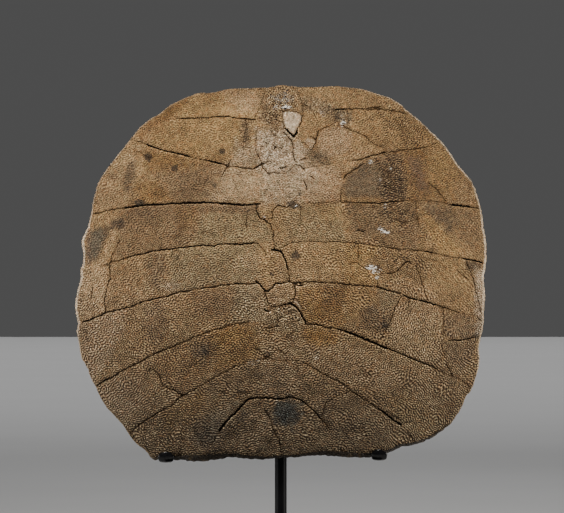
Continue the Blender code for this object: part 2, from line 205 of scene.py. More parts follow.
# Which way the ripples of the pitting run: place in pixels, degrees above level, and how clearly
RIPPLE_REACH = 30.0
RIPPLE_FLOOR = 0.02
RIPPLES = (
    (140, 150, 40, 0.4), (200, 140, 5, 0.4), (150, 190, 35, 0.5), (220, 185, 5, 0.2), (110, 240, 55, 0.6),
    (160, 275, 40, 0.6), (215, 265, 10, 0.5), (290, 230, -10, 0.3), (98, 335, 50, 0.4),
    (150, 345, -45, 0.3), (200, 320, 15, 0.4), (140, 385, 42, 0.6), (195, 415, -10, 0.7),
    (230, 385, -5, 0.6), (290, 380, 0, 0.5), (230, 440, 12, 0.7), (300, 435, 5, 0.7), (338, 368, 35, 0.8),
    (364, 388, -25, 0.4), (350, 425, -15, 0.6), (392, 383, 28, 0.4), (432, 385, -45, 0.7),
    (410, 430, -50, 0.8), (395, 172, 22, 0.9), (430, 170, 20, 0.6), (360, 128, 35, 0.4), (400, 215, 5, 0.5),
    (335, 222, -20, 0.5), (320, 262, 0, 0.5), (425, 330, 60, 0.3), (350, 300, -20, 0.5),
    (450, 280, -40, 0.5),
)

# The outline of the carapace in the photograph's pixels, counterclockwise from the top
OUTLINE = (
    (220, 91), (210, 93), (200, 93), (190, 96), (180, 100.5), (170, 105.5), (160, 113.5), (150, 119.5),
    (140, 127.5), (130, 139.5), (122, 150), (110, 165), (100, 179.5), (96, 190), (93, 203), (92, 210),
    (90, 219), (88, 227), (85, 233), (82.5, 238), (81.5, 244), (83, 250), (83.5, 258), (82.5, 265),
    (80.5, 270), (81, 276), (80, 282), (78, 289), (76.3, 296.5), (75.3, 302), (75.3, 310), (76.7, 317),
    (78.2, 324), (77.2, 329), (77.2, 335), (79, 344), (80, 351), (81.5, 358), (85, 364), (88, 369.5),
    (90, 376), (92.6, 381.5), (96, 387), (99, 394.5), (102.7, 401), (107, 408), (112, 413), (118, 419.5),
    (123, 425), (127, 431), (130, 436), (135.4, 442.5), (141, 447), (147, 452), (150, 457), (154, 460.5),
    (159, 459), (166, 458.5), (177, 460), (183.5, 460), (191, 461.5), (203, 461.5), (209.5, 460.3),
    (219.6, 459.3), (229, 457.4), (242, 458), (253, 459.3), (264, 459.3), (272.5, 458.8), (286, 457.4),
    (296.5, 457.4), (306, 456), (316, 455.5), (325, 455.8), (338, 456.4), (346.5, 457.4), (360, 457.5),
    (369, 457.4), (375, 456), (382, 454.5), (388.5, 452.6), (393, 450.7), (400, 447.3), (408, 446),
    (415, 444.4), (422, 442), (430, 438.7), (436.5, 434.8), (443, 430), (450, 424.7), (454, 419),
    (458.7, 412.7), (462.5, 405), (466, 397), (470.7, 390.6), (473.6, 384), (476, 376), (478.4, 368.5),
    (479.3, 362.7), (479.3, 356), (478.7, 349), (479.8, 343.5), (480.8, 337.5), (482.7, 328),
    (483.8, 319.6), (484, 310), (485, 299.5), (485, 292), (484, 285), (483.7, 277), (485.4, 267.7),
    (486, 260), (486.3, 250.5), (485.6, 241), (484.6, 233), (483.2, 225.5), (482.2, 215), (480.5, 207),
    (476, 192), (470, 179), (460, 168), (450, 153), (440, 140), (430, 131), (420, 121), (408, 111.5),
    (400, 104), (390, 98), (380, 95), (370, 91.5), (360, 89), (345, 87), (333, 86), (320, 87), (300, 87),
    (290, 86), (280, 85), (268, 87.5), (250, 88), (230, 89),
)

# How far the broken edge spreads beyond the outer face, in pixels, at places along the outline,
# and its tone there: 1 pale, a painted highlight where the lamps catch the broken edge; 0 as the face; -1
# dark, painted shade on its underside
RIM_PLACES = (
    (281, 85, 0.8, 0.0), (200, 93, 0.8, 0.1), (140, 127, 1.0, 0.35), (100, 180, 1.3, 0.35),
    (90, 219, 1.6, 0.6), (82, 241, 3.2, 0.8), (83, 258, 2.2, 0.9), (81, 271, 3.0, 0.7), (78, 290, 2.4, 1.0),
    (75.5, 305, 2.8, 1.0), (77, 330, 2.2, 0.8), (80, 351, 1.5, 0.6), (90, 376, 1.0, 0.35),
    (107, 408, 1.0, 0.1), (135, 442, 1.4, 0.0), (150, 457, 3.0, -0.35), (157, 459, 3.0, -0.6),
    (177, 460, 4.0, -1.0), (191, 462, 6.5, -0.88), (205, 461.5, 7.0, -0.84), (219, 459, 5.5, -1.0),
    (229, 457, 4.0, -1.0), (250, 458, 3.4, -1.0), (272, 458, 3.0, -1.0), (290, 457, 2.4, -0.9),
    (306, 456, 3.0, -0.9), (325, 455.8, 4.5, -1.0), (345, 457.4, 6.0, -0.86), (360, 457.5, 5.0, -0.85),
    (375, 456, 4.0, -1.0), (390, 452, 3.0, -0.9), (408, 446, 3.0, -0.95), (436, 435, 2.0, -0.8),
    (466, 397, 1.0, 0.3), (479, 356, 1.5, 0.6), (483, 325, 2.0, 0.6), (485, 295, 2.8, 0.8),
    (486, 255, 2.6, 1.0), (484, 230, 2.4, 1.0), (480, 207, 1.8, 0.8), (460, 168, 1.6, 0.75),
    (440, 140, 1.6, 0.75), (400, 104, 1.1, 0.45), (340, 87, 0.8, 0.0),
)

# The claws' bent strip and its cross-section
CLAW_LEG_Y = 0.0250
CLAW_TOP_Z = 0.160
CLAW_HALF_THICKNESS = 0.0022
CLAW_BEND = 0.0035
CLAW_LIP_LEAN = 0.0005
CLAW_LIP_START = 0.55
CLAW_LIP_LENGTH = 0.25
CLAW_LIP_THINNING = 0.25
CLAW_TIP_START = 0.90
CLAW_TIP_POWER = 2.2
CLAW_TIP_LEAST = 0.02
CLAW_WIDTH_SHARES = (0.0, 0.62, 0.76, 0.86, 0.93, 1.0)
CLAW_HALF_WIDTHS = (0.0060, 0.0058, 0.0052, 0.0080, 0.0088, 0.0084)
CLAW_LEG_STATIONS = (0.0, 0.70, 24)
CLAW_LIP_STATIONS = (0.71, 1.0, 30)
CLAW_LOOK = 0.01
CORNER_ROUNDS = 2
CLAW_SECTION = (
    (-1.0, 0.0), (-0.96, -0.62), (-0.82, -0.95), (-0.4, -1.1), (0.0, -1.15), (0.4, -1.1), (0.82, -0.95),
    (0.96, -0.62), (1.0, 0.0), (0.96, 0.62), (0.82, 0.95), (0.0, 1.0), (-0.82, 0.95), (-0.96, 0.62),
)

# Each claw: name, node, place across, depth of the lip, heights of sole and lip, and turn with the rim
CLAWS = (
    ("left_claw_strip", "left_claw", -0.1227, -0.0016, 0.1252, 0.1355, 0.10),
    ("right_claw_strip", "right_claw", 0.1051, -0.0074, 0.1277, 0.1383, -0.10),
)

# Sutures and cracks, and a few painted shadows beside the raised chips: strength from 0 to 1, then the line
# in pixels
CRACKS_AND_CHIP_SHADOWS = (
    # nuchal and first costals
    (0.68, ((176, 118.5), (190, 118.5), (205, 118), (215, 117), (228, 116.5), (240, 118.5), (255, 120))),
    (0.80, ((335, 109.6), (345, 109.2))),
    (0.50, ((345, 109.2), (355, 109), (370, 109), (385, 109.5), (395, 111), (405, 113))),
    (0.45, ((368, 108), (376, 107), (383, 106))),
    # first and second costals
    (0.30, ((131, 139), (137, 141.5))),
    (0.45, ((137, 141), (142, 142.7), (147, 144.5))),
    (0.88, ((147, 144.5), (151, 146.5), (160, 149.5), (168, 151.7))),
    (0.92, ((170.5, 152), (180, 154), (190, 157))),
    (0.36, ((190, 157), (199, 159))),
    (0.66, ((199, 159), (209, 161))),
    (0.92, ((209, 161), (217, 163), (221, 163.6))),
    (0.80, ((222, 164), (228, 166))),
    (0.42, ((228, 166), (235, 166.5))),
    (0.66, ((235, 166.5), (243, 168), (250, 168.7), (254, 169))),
    (0.80, ((254, 169), (257.5, 166.5), (260.5, 165), (265, 163.3))),
    (0.50, ((265, 163.3), (268.5, 161.3), (272, 162.5))),
    (0.58, ((425, 147.5), (415, 149), (405, 150), (395, 151.5), (390, 152))),
    (0.40, ((436, 143), (430, 145.5), (425, 147.5))),
    (0.74, ((385, 152.5), (372, 155.5), (362, 159), (352, 160.5))),
    (0.64, ((363, 164), (358, 168), (353, 170.5), (348, 174), (344, 178))),
    (0.12, ((352, 160.5), (335, 163), (320, 165.5))),
    # second and third costals
    (0.55, ((94, 214), (98, 213), (105, 211), (113, 209.5), (125, 208))),
    (1.00, ((125, 208), (135, 206.5), (147, 205), (160, 204.5), (175, 203.5), (190, 203), (205, 202.5))),
    (1.00, ((205, 202.5), (215, 203), (230, 204), (242, 205.5), (250, 205), (260, 204))),
    (0.36, ((303, 203), (315, 203.5), (330, 202), (341, 202.2))),
    (0.55, ((341, 202.2), (355, 202.5), (362, 202.8))),
    (0.78, ((362, 202.8), (368, 203), (380, 203), (390, 202.3), (397, 201.3))),
    (0.55, ((397, 201.3), (408, 200.4))),
    (0.36, ((408, 200.6), (430, 200.8), (440, 202), (446, 203.5), (451, 204.5))),
    (1.10, ((451, 204.7), (460, 205.5), (469, 206.6))),
    (0.60, ((469, 206.6), (474, 207.4), (480, 208.5))),
    # third and fourth costals
    (0.55, ((101, 266.7), (106.5, 265), (111, 262.4), (120, 260), (128, 257.6))),
    (0.80, (
        (128, 257.6), (135.4, 255), (143, 254), (150, 252), (161, 250), (172, 249), (183.5, 247.5),
        (195, 246.3), (204.6, 245), (214, 246.2), (218, 244.4), (228, 243.7), (237.4, 244.6),
        (248.5, 243.7), (257.3, 243.3),
    )),
    (0.46, (
        (283, 247), (287, 244.6), (291, 242.7), (299, 242.5), (307, 241.3), (319, 242), (339, 241.4),
        (344.6, 242.7), (352, 242.2), (360, 243.5), (369, 245), (376, 246), (386, 246.5),
    )),
    (0.55, ((386, 246.8), (395, 248.5), (401, 250), (418, 250.5))),
    (0.75, ((418, 250.3), (425, 251), (432, 253))),
    (0.42, ((432, 253), (440, 254.3), (450, 257), (463, 258.3))),
    (0.90, ((463, 258.3), (470, 259.8), (476, 261), (482, 262.7))),
    (0.50, ((482, 262.7), (484.6, 265))),
    # fourth and fifth costals
    (0.80, ((82.5, 322), (89, 320.6), (96, 317.7), (102.7, 314.3), (108.5, 312))),
    (1.00, ((141, 302.3), (145, 301.3))),
    (0.74, (
        (108.5, 312), (116, 310.5), (123, 308.6), (130.6, 307), (137, 304), (143, 302), (152.7, 299.4),
        (160, 297.7), (165, 297), (171, 295), (179.6, 292), (188, 291.3), (193, 289), (198, 289.3),
        (208.5, 287.4), (214, 287), (221.5, 285.3), (233, 284), (240, 283.5), (246, 284.5), (250, 284),
        (256, 283),
    )),
    (0.85, (
        (256, 281), (260, 285), (265, 291), (268, 291.5), (272, 288), (275, 283), (279, 284), (284, 283),
        (289, 281.5), (294, 283.5), (300, 282.5),
    )),
    (0.68, (
        (300, 282.5), (311, 282), (321.5, 282.6), (330, 282.3), (340, 283.6), (347.5, 284.8), (360, 285.5),
        (369, 286.4), (377, 287.2), (386.5, 290),
    )),
    (0.90, ((296, 285), (299, 286.5), (303, 285))),
    (0.85, ((378, 287.5), (386.5, 290), (400, 293.5))),
    (0.88, ((404, 295.3), (410, 298), (420, 300.5), (430, 303), (437, 305.5))),
    (0.62, ((437, 305.5), (443, 307), (450, 309.5), (458.7, 312.6))),
    (0.25, ((458.7, 312.4), (467, 314), (476, 316))),
    (0.60, ((476, 316), (480, 320))),
    # fifth and sixth costals
    (0.72, (
        (96.4, 386), (101.7, 382.4), (109.4, 378.4), (116, 375), (124, 369.7), (131.5, 366), (141, 361.3),
        (150, 356.4), (159.4, 352), (170, 347.8), (177.7, 344.4),
    )),
    (0.95, ((104, 380.6), (109.4, 378.4))),
    (0.60, (
        (177.7, 344.4), (189, 339.6), (198, 335.8), (209, 331.6), (219.6, 329), (229, 325.4), (239, 323.5),
        (248.5, 322),
    )),
    (0.80, ((305, 324), (313, 324.5), (321, 325.5), (327, 328), (333, 328), (344.6, 331))),
    (1.15, ((344.6, 331), (354, 334.5), (364.4, 339), (376.4, 344), (386.5, 348.3))),
    (0.78, ((386.5, 348.3), (396, 351.6), (406, 356), (415.4, 360), (423, 363))),
    (0.90, ((423, 363), (430, 365.6), (436.5, 369))),
    (0.36, ((436.5, 369), (442, 372), (451, 376), (460.6, 379.5))),
    (0.50, ((460.6, 379.5), (468, 385), (471.6, 388))),
    # sixth and seventh costals
    (0.72, ((131, 432), (137, 426.6), (145, 421), (151.7, 417), (158.5, 412), (166, 408), (172, 405.5))),
    (0.66, ((172, 405.5), (180, 397.3), (190, 392), (197, 388))),
    (0.46, ((197, 388), (206, 383), (215, 377), (222.5, 373), (229, 370))),
    (0.62, ((229, 369.5), (235, 367), (239, 365))),
    (0.45, (
        (239, 365), (247.5, 361), (259, 360), (267.7, 358), (276, 360), (284, 361), (292, 360.4),
        (299, 361),
    )),
    (0.60, ((303, 362.5), (310, 366), (318, 371), (329, 377), (332, 379), (338, 380.7), (344.6, 385.5))),
    (0.60, ((344.6, 385.5), (350.4, 391), (358, 395.5), (364.4, 399.7), (372, 404.5), (378, 408.5))),
    (0.98, ((378, 408.5), (386.5, 414.6), (391, 418.5), (397, 422.3), (401, 425))),
    (0.48, ((350, 391), (342, 394), (334, 398), (326, 403), (322, 416))),
    (0.46, ((441, 343), (443, 350), (445.5, 356), (440, 361), (434, 365))),
    (0.50, ((237, 391.5), (244, 393), (252, 393.5))),
    # seventh and eighth costals
    (0.40, ((212, 445), (215, 439), (219.6, 431))),
    (1.05, (
        (219.6, 431), (223.5, 425), (229, 418.5), (236, 411.7), (241.7, 405.5), (246.5, 400.7),
        (251, 398.5), (257, 397.5), (263, 398), (270.6, 398), (276, 399), (282, 399), (289, 396.8),
    )),
    (0.80, (
        (289, 396.8), (294.6, 398), (300.4, 400), (306, 404), (312, 409), (316.7, 414), (320.6, 418.5),
    )),
    (0.42, ((320.6, 418.5), (326, 424), (330, 430))),
    (0.55, (
        (265, 410), (268.7, 414.6), (271.5, 422), (272.5, 429), (276, 434), (279, 439), (280, 445),
        (281.6, 452),
    )),
    # neural bones, top to bottom
    (0.34, ((257, 130), (256, 136), (256, 143), (255.5, 150))),
    (0.48, ((255.5, 150), (258, 155), (261, 160.5), (262, 166))),
    (0.26, ((257, 130), (262, 127.5), (268, 128.5), (276, 129), (281, 131), (284, 132.5))),
    (0.55, ((284, 132.5), (288, 137), (291.5, 141), (293.5, 147), (293, 150))),
    (0.50, ((293, 152), (293.5, 157), (295.5, 161.5))),
    (0.30, ((276, 147), (282, 152), (288, 153), (293, 152.5))),
    (0.30, ((270, 130), (274.5, 135), (275, 139))),
    (0.48, ((262, 166), (265, 170), (269, 174.5))),
    (0.46, ((269, 173.2), (277, 173), (286, 173.5))),
    (0.34, ((286, 173.5), (290, 169.5), (295, 165))),
    (0.66, ((280.5, 168.2), (284, 168), (286, 166.5))),
    (0.52, ((296, 165), (300.5, 166), (304, 169.5))),
    (0.32, ((304, 168), (312, 166.5), (320, 166))),
    (0.50, ((304, 181), (306, 184), (307, 190))),
    (0.50, ((310, 176), (313, 178))),
    (0.62, ((271.5, 212), (275, 208), (278.5, 205.3), (282, 206.5), (286, 207.5), (289, 206))),
    (0.66, ((257, 206), (256.5, 211), (259, 217), (264, 219.5), (269, 223.5), (270.5, 224))),
    (0.55, ((270.5, 224), (271.5, 229), (274, 232), (273, 237), (273.5, 241))),
    (0.45, ((273, 213), (272, 220))),
    (0.42, ((258, 243), (260, 246), (264, 250), (266, 255))),
    (0.30, ((274, 241), (275, 248))),
    (1.00, ((272, 250), (276, 250), (279, 251), (282, 252.5), (284, 257.5))),
    (0.75, ((284, 257.5), (286.5, 263), (288, 270))),
    (0.48, ((288, 270), (289, 276), (289.5, 281.5))),
    (0.38, ((281, 248), (285, 246), (291, 242.5))),
    (0.55, ((265, 292), (266, 297), (268, 301), (269, 305))),
    (0.90, ((264.5, 310), (267, 311), (270, 311.3))),
    (0.62, ((271, 306.5), (276, 306.3), (280, 306), (284, 304.5))),
    (0.95, ((284, 304.5), (291, 303.7), (295, 306.5), (300, 312), (303, 318), (306, 322))),
    (0.60, ((293.7, 285), (295.6, 291), (295, 297), (291.7, 303))),
    (0.50, ((297, 300), (300, 305), (303, 309))),
    (0.40, ((280, 318), (285, 316))),
    (0.40, ((284, 313), (289, 312))),
    (0.55, ((268, 328.5), (272, 327.5), (275, 326), (280, 326.3))),
    (0.80, ((296.5, 321.3), (299, 320.6))),
    (0.35, ((285, 339), (291, 334), (295.6, 331))),
    (0.60, ((274.5, 145.5), (274.5, 149))),
    # other breaks
    (0.50, ((231, 160), (228, 166), (224, 172), (221, 177))),
    (0.50, ((377.4, 280), (377.4, 287))),
    (0.72, ((401, 297), (398, 303), (395, 308), (393, 314), (390.5, 320.6))),
    (0.42, ((390, 322), (385, 332), (378, 341), (376.4, 343.7))),
    (0.64, (
        (387, 273.5), (392, 273.5), (397.5, 271), (402, 265), (406, 262), (408.5, 261.4), (411, 263.5),
    )),
    (0.48, ((416, 266), (417.7, 270.6), (420.5, 278), (424, 290), (427.5, 300))),
    (0.74, ((448.5, 341), (452.5, 340), (460.6, 340.3), (468, 338.6), (475, 337.2))),
    (0.60, ((446.5, 364), (449, 370), (453, 376))),
    (0.60, ((110, 264), (110.4, 279), (107, 288), (104.5, 298), (105, 306), (106, 312))),
    (0.42, ((120, 239), (117, 247.5), (112, 256), (109.5, 264))),
    (0.56, ((149.5, 370.5), (152, 368.5), (156, 371.5), (159.4, 375.5), (163, 386))),
    (0.74, ((163, 386), (167, 388), (174, 389.6), (179.6, 393.5), (184.4, 396))),
    (0.46, ((318, 132), (322, 128.8), (327.5, 127), (332, 124))),
    (0.42, ((349.5, 263.5), (357, 262.3), (360, 265), (364, 268.5))),
    (0.52, ((466, 262), (471, 272), (474, 282), (477, 295), (481, 312))),
    (0.42, ((443, 308.5), (443.7, 318), (443.5, 328), (443, 337))),
    (0.28, ((266, 90), (263, 98), (261, 106), (258, 112), (254, 119))),
    (0.36, ((298, 92), (301, 100), (303, 112))),
    (0.28, ((246, 120), (246, 128), (244, 138), (243, 148))),
    (0.45, ((256, 348), (262, 353), (266, 358), (272, 354), (278, 349), (284, 354), (288, 351))),
    (0.34, ((171, 258), (172, 253), (177, 250), (180, 253), (177, 260), (173, 262))),
    (0.34, ((303, 104), (310, 108), (314, 114), (318, 121))),
    (0.34, ((264, 112), (270, 114), (276, 118), (280, 122))),
    (0.28, ((275.5, 131), (276, 138), (274.5, 144), (274, 149))),
    (0.36, ((136, 151), (142, 153), (148, 158), (154, 157))),
    (0.30, ((193, 232), (200, 234), (206, 231), (214, 235))),
    (0.30, ((420, 262), (430, 259), (440, 262), (446, 268))),
    (0.30, ((83, 328), (88, 332), (86, 340))),
    (0.42, ((343, 125), (350, 130), (358, 132.5), (366, 137), (372, 142.5), (381, 147))),
    (0.46, ((358.7, 244), (358, 250), (358.3, 258))),
    (0.42, ((92.5, 287), (91.8, 293), (91, 300))),
    (0.26, ((160, 198.5), (168, 193.5), (178, 192), (189, 189), (203, 191))),
    (0.50, ((247, 218), (246, 223), (247, 228))),
    (0.42, ((429, 183), (434, 187.5), (438, 190.5), (441, 195.5), (446, 201))),
    (0.40, ((341, 190), (340.5, 196), (341, 202))),
    (0.28, ((380.5, 204), (380.3, 211), (380.6, 218))),
    (0.40, ((396, 220), (402, 221.5), (408, 222), (418, 219))),
    (0.40, ((416, 204), (416, 212), (418, 220), (419, 226))),
    (0.36, ((300.5, 207), (300.5, 215), (301, 225))),
    (0.72, ((358, 230.5), (364, 231.3))),
    (0.34, ((122, 356), (128, 356.5), (136, 358.5))),
    (0.36, ((219, 391), (228, 393), (235, 398), (243, 400.5))),
    (0.36, ((409, 299), (408.5, 306), (409, 311))),
    (0.42, ((387, 411), (392, 414.5), (400, 420))),
    (0.34, ((364, 388.5), (370, 386.5), (372.5, 392), (377, 398))),
    (0.34, ((403, 422.5), (410, 423), (416, 424))),
    (0.52, ((407.5, 432), (412, 438), (415.5, 443))),
    (0.40, ((353, 275), (350, 279), (348.7, 284.5))),
    (0.46, ((458, 271), (462, 275), (468, 279))),
    # around the raised chips near the nuchal bone, with painted shadows beside their edges
    (1.05, ((285.5, 128.5), (290, 133.3), (294, 136.7), (296.3, 133.5), (297.3, 129.5))),
    (0.62, ((299, 126.5), (301.8, 122), (302, 116))),
    # painted shadow along the top edge of the first chip
    (0.32, ((283, 111.5), (290, 111), (296, 112), (301, 114.5))),
    (0.30, ((282.5, 112.5), (283, 121), (285.5, 128.5))),
    (0.42, ((281, 121.5), (284, 124), (284, 127.5), (281.5, 128.5))),
    # painted shadow below and right of the second chip
    (0.45, ((316.5, 141), (315, 145), (312, 149.5))),
    (0.38, ((302, 142), (305, 142.5), (309, 147))),
    (0.50, ((310.5, 136.5), (316, 139.5))),
    # painted shadow right of the second chip
    (0.72, ((318, 132), (317.5, 136), (315.5, 142))),
    # a short painted shadow line below the second chip
    (0.55, ((300, 160), (306, 158))),
)

# Raised pieces: height in millimetres, how much paler, how much smoother, and the corners
CHIPS = (
    (0.9, 0.65, 0.75, (
        (282.5, 112.5), (289, 111), (296, 112.5), (301.5, 115.5), (301.5, 120), (299, 125), (297, 128),
        (295.5, 133), (294, 136), (290, 131.5), (285.5, 127), (283.5, 121.5),
    )),
    (0.6, 0.35, 0.50, (
        (304.5, 141), (308, 137.5), (312, 139), (315.5, 140.5), (314.5, 144), (311.5, 149), (308, 146),
    )),
    (0.6, 0.45, 0.40, ((294, 301), (297, 300), (302, 308), (300, 309.5))),
    (0.4, 0.45, 0.60, ((281, 121.5), (284, 124), (284, 127.5), (281.5, 128.5))),
)

# Long swellings and hollows: height in millimetres, half width in pixels, and the line
FOLDS = (
    (1.3, 6.0, ((103, 233), (99, 245), (98, 258), (99, 275), (97, 292), (94, 306))),
    (-0.9, 5.0, ((94, 232), (90, 248), (89, 262))),
    (1.0, 5.0, ((477, 270), (478, 285), (479, 300))),
    (-0.8, 6.0, ((468, 262), (470, 275), (469, 290))),
    (0.9, 9.0, ((275, 130), (277, 160), (276, 200), (278, 240), (277, 290), (280, 330), (278, 380))),
    (-0.7, 3.0, ((319, 138), (317, 145), (313, 152))),
)

# The lines between the costals, from rim to rim, that space the ribs on the inner side
RIB_LINES = (
    ((152, 118), (205, 118), (256, 120), (278, 116), (300, 112), (340, 109.5), (409, 113.5)),
    ((130.5, 139.5), (175, 153.5), (254, 169.5), (279, 165), (320, 166), (380, 154), (443, 143.5)),
    ((90, 215), (147, 205), (230, 204), (280, 204), (350, 202), (415, 200), (480, 208.5)),
    ((83, 272), (150, 252), (228, 243.5), (274, 243), (335, 241.5), (425, 250.5), (485, 263.5)),
    ((77.5, 323), (142, 302.5), (214, 286.5), (271, 285), (330, 282), (408, 297), (482.5, 320)),
    ((96, 387), (150, 356.5), (214, 330), (278, 320), (335, 328.5), (420, 362), (471, 388)),
    ((128, 434), (184, 396), (238, 366), (280, 360), (328, 376), (382, 411.5), (414, 444.5)),
    ((211, 460), (232, 418), (256, 397.5), (276, 398.5), (297, 398.5), (323, 421), (337, 455.8)),
)
RIB_MARGINS = (0.03, 0.05)
LEAST_RIB = 0.002
RIB_SHARPNESS = 2.6
RIB_POWER = 1.2

# Colours of the bone, linear
PIGMENTS = {
    "tan": (0.300, 0.188, 0.090),
    "light_tan": (0.380, 0.250, 0.135),
    "pink_tan": (0.400, 0.272, 0.170),
    "grey_pale": (0.380, 0.288, 0.200),
    "pale_bone": (0.410, 0.308, 0.215),
    "chip": (0.520, 0.430, 0.310),
    "cream": (0.860, 0.700, 0.510),
    "ochre": (0.270, 0.150, 0.050),
    "golden": (0.350, 0.212, 0.086),
    "honey": (0.262, 0.158, 0.064),
    "bronze": (0.208, 0.112, 0.037),
    "orange": (0.285, 0.148, 0.042),
    "red_brown": (0.230, 0.125, 0.050),
    "rust": (0.160, 0.084, 0.028),
    "umber": (0.200, 0.125, 0.065),
    "dark_umber": (0.150, 0.095, 0.050),
    "stain": (0.130, 0.095, 0.060),
    "slate": (0.098, 0.090, 0.069),
    "ash": (0.120, 0.100, 0.074),
    "plum": (0.130, 0.080, 0.056),
    "olive": (0.260, 0.195, 0.110),
    "cap": (0.235, 0.172, 0.112),
    # Painted shade for the underside of the broken edge
    "underside_shade": (0.022, 0.016, 0.010),
    "inner": (0.250, 0.165, 0.090),
}

# Painted light by height, with a tint: the bone's colour is made yellower and a little darker near the top,
# palest at mid height, and greyer below
PAINTED_LIGHT_ROWS = (90, 110, 140, 200, 255, 300, 340, 380, 420)
PAINTED_LIGHT_RED = (0.80, 0.88, 0.99, 0.93, 1.15, 1.17, 1.11, 1.00, 0.95)
PAINTED_LIGHT_GREEN = (0.79, 0.87, 0.99, 0.91, 1.15, 1.19, 1.16, 1.06, 1.07)
PAINTED_LIGHT_BLUE = (0.72, 0.78, 0.91, 0.82, 1.06, 1.18, 1.14, 1.09, 1.19)

# Wide tints under everything else, given as the spots are
WASHES = (
    ("honey", 190, 105, 60, 16, -8, 0.35), ("bronze", 436, 160, 45, 55, 40, 0.45),
    ("light_tan", 300, 440, 60, 26, 0, 0.35), ("light_tan", 120, 390, 30, 22, 30, 0.25),
    ("honey", 455, 290, 22, 34, 0, 0.30),
)

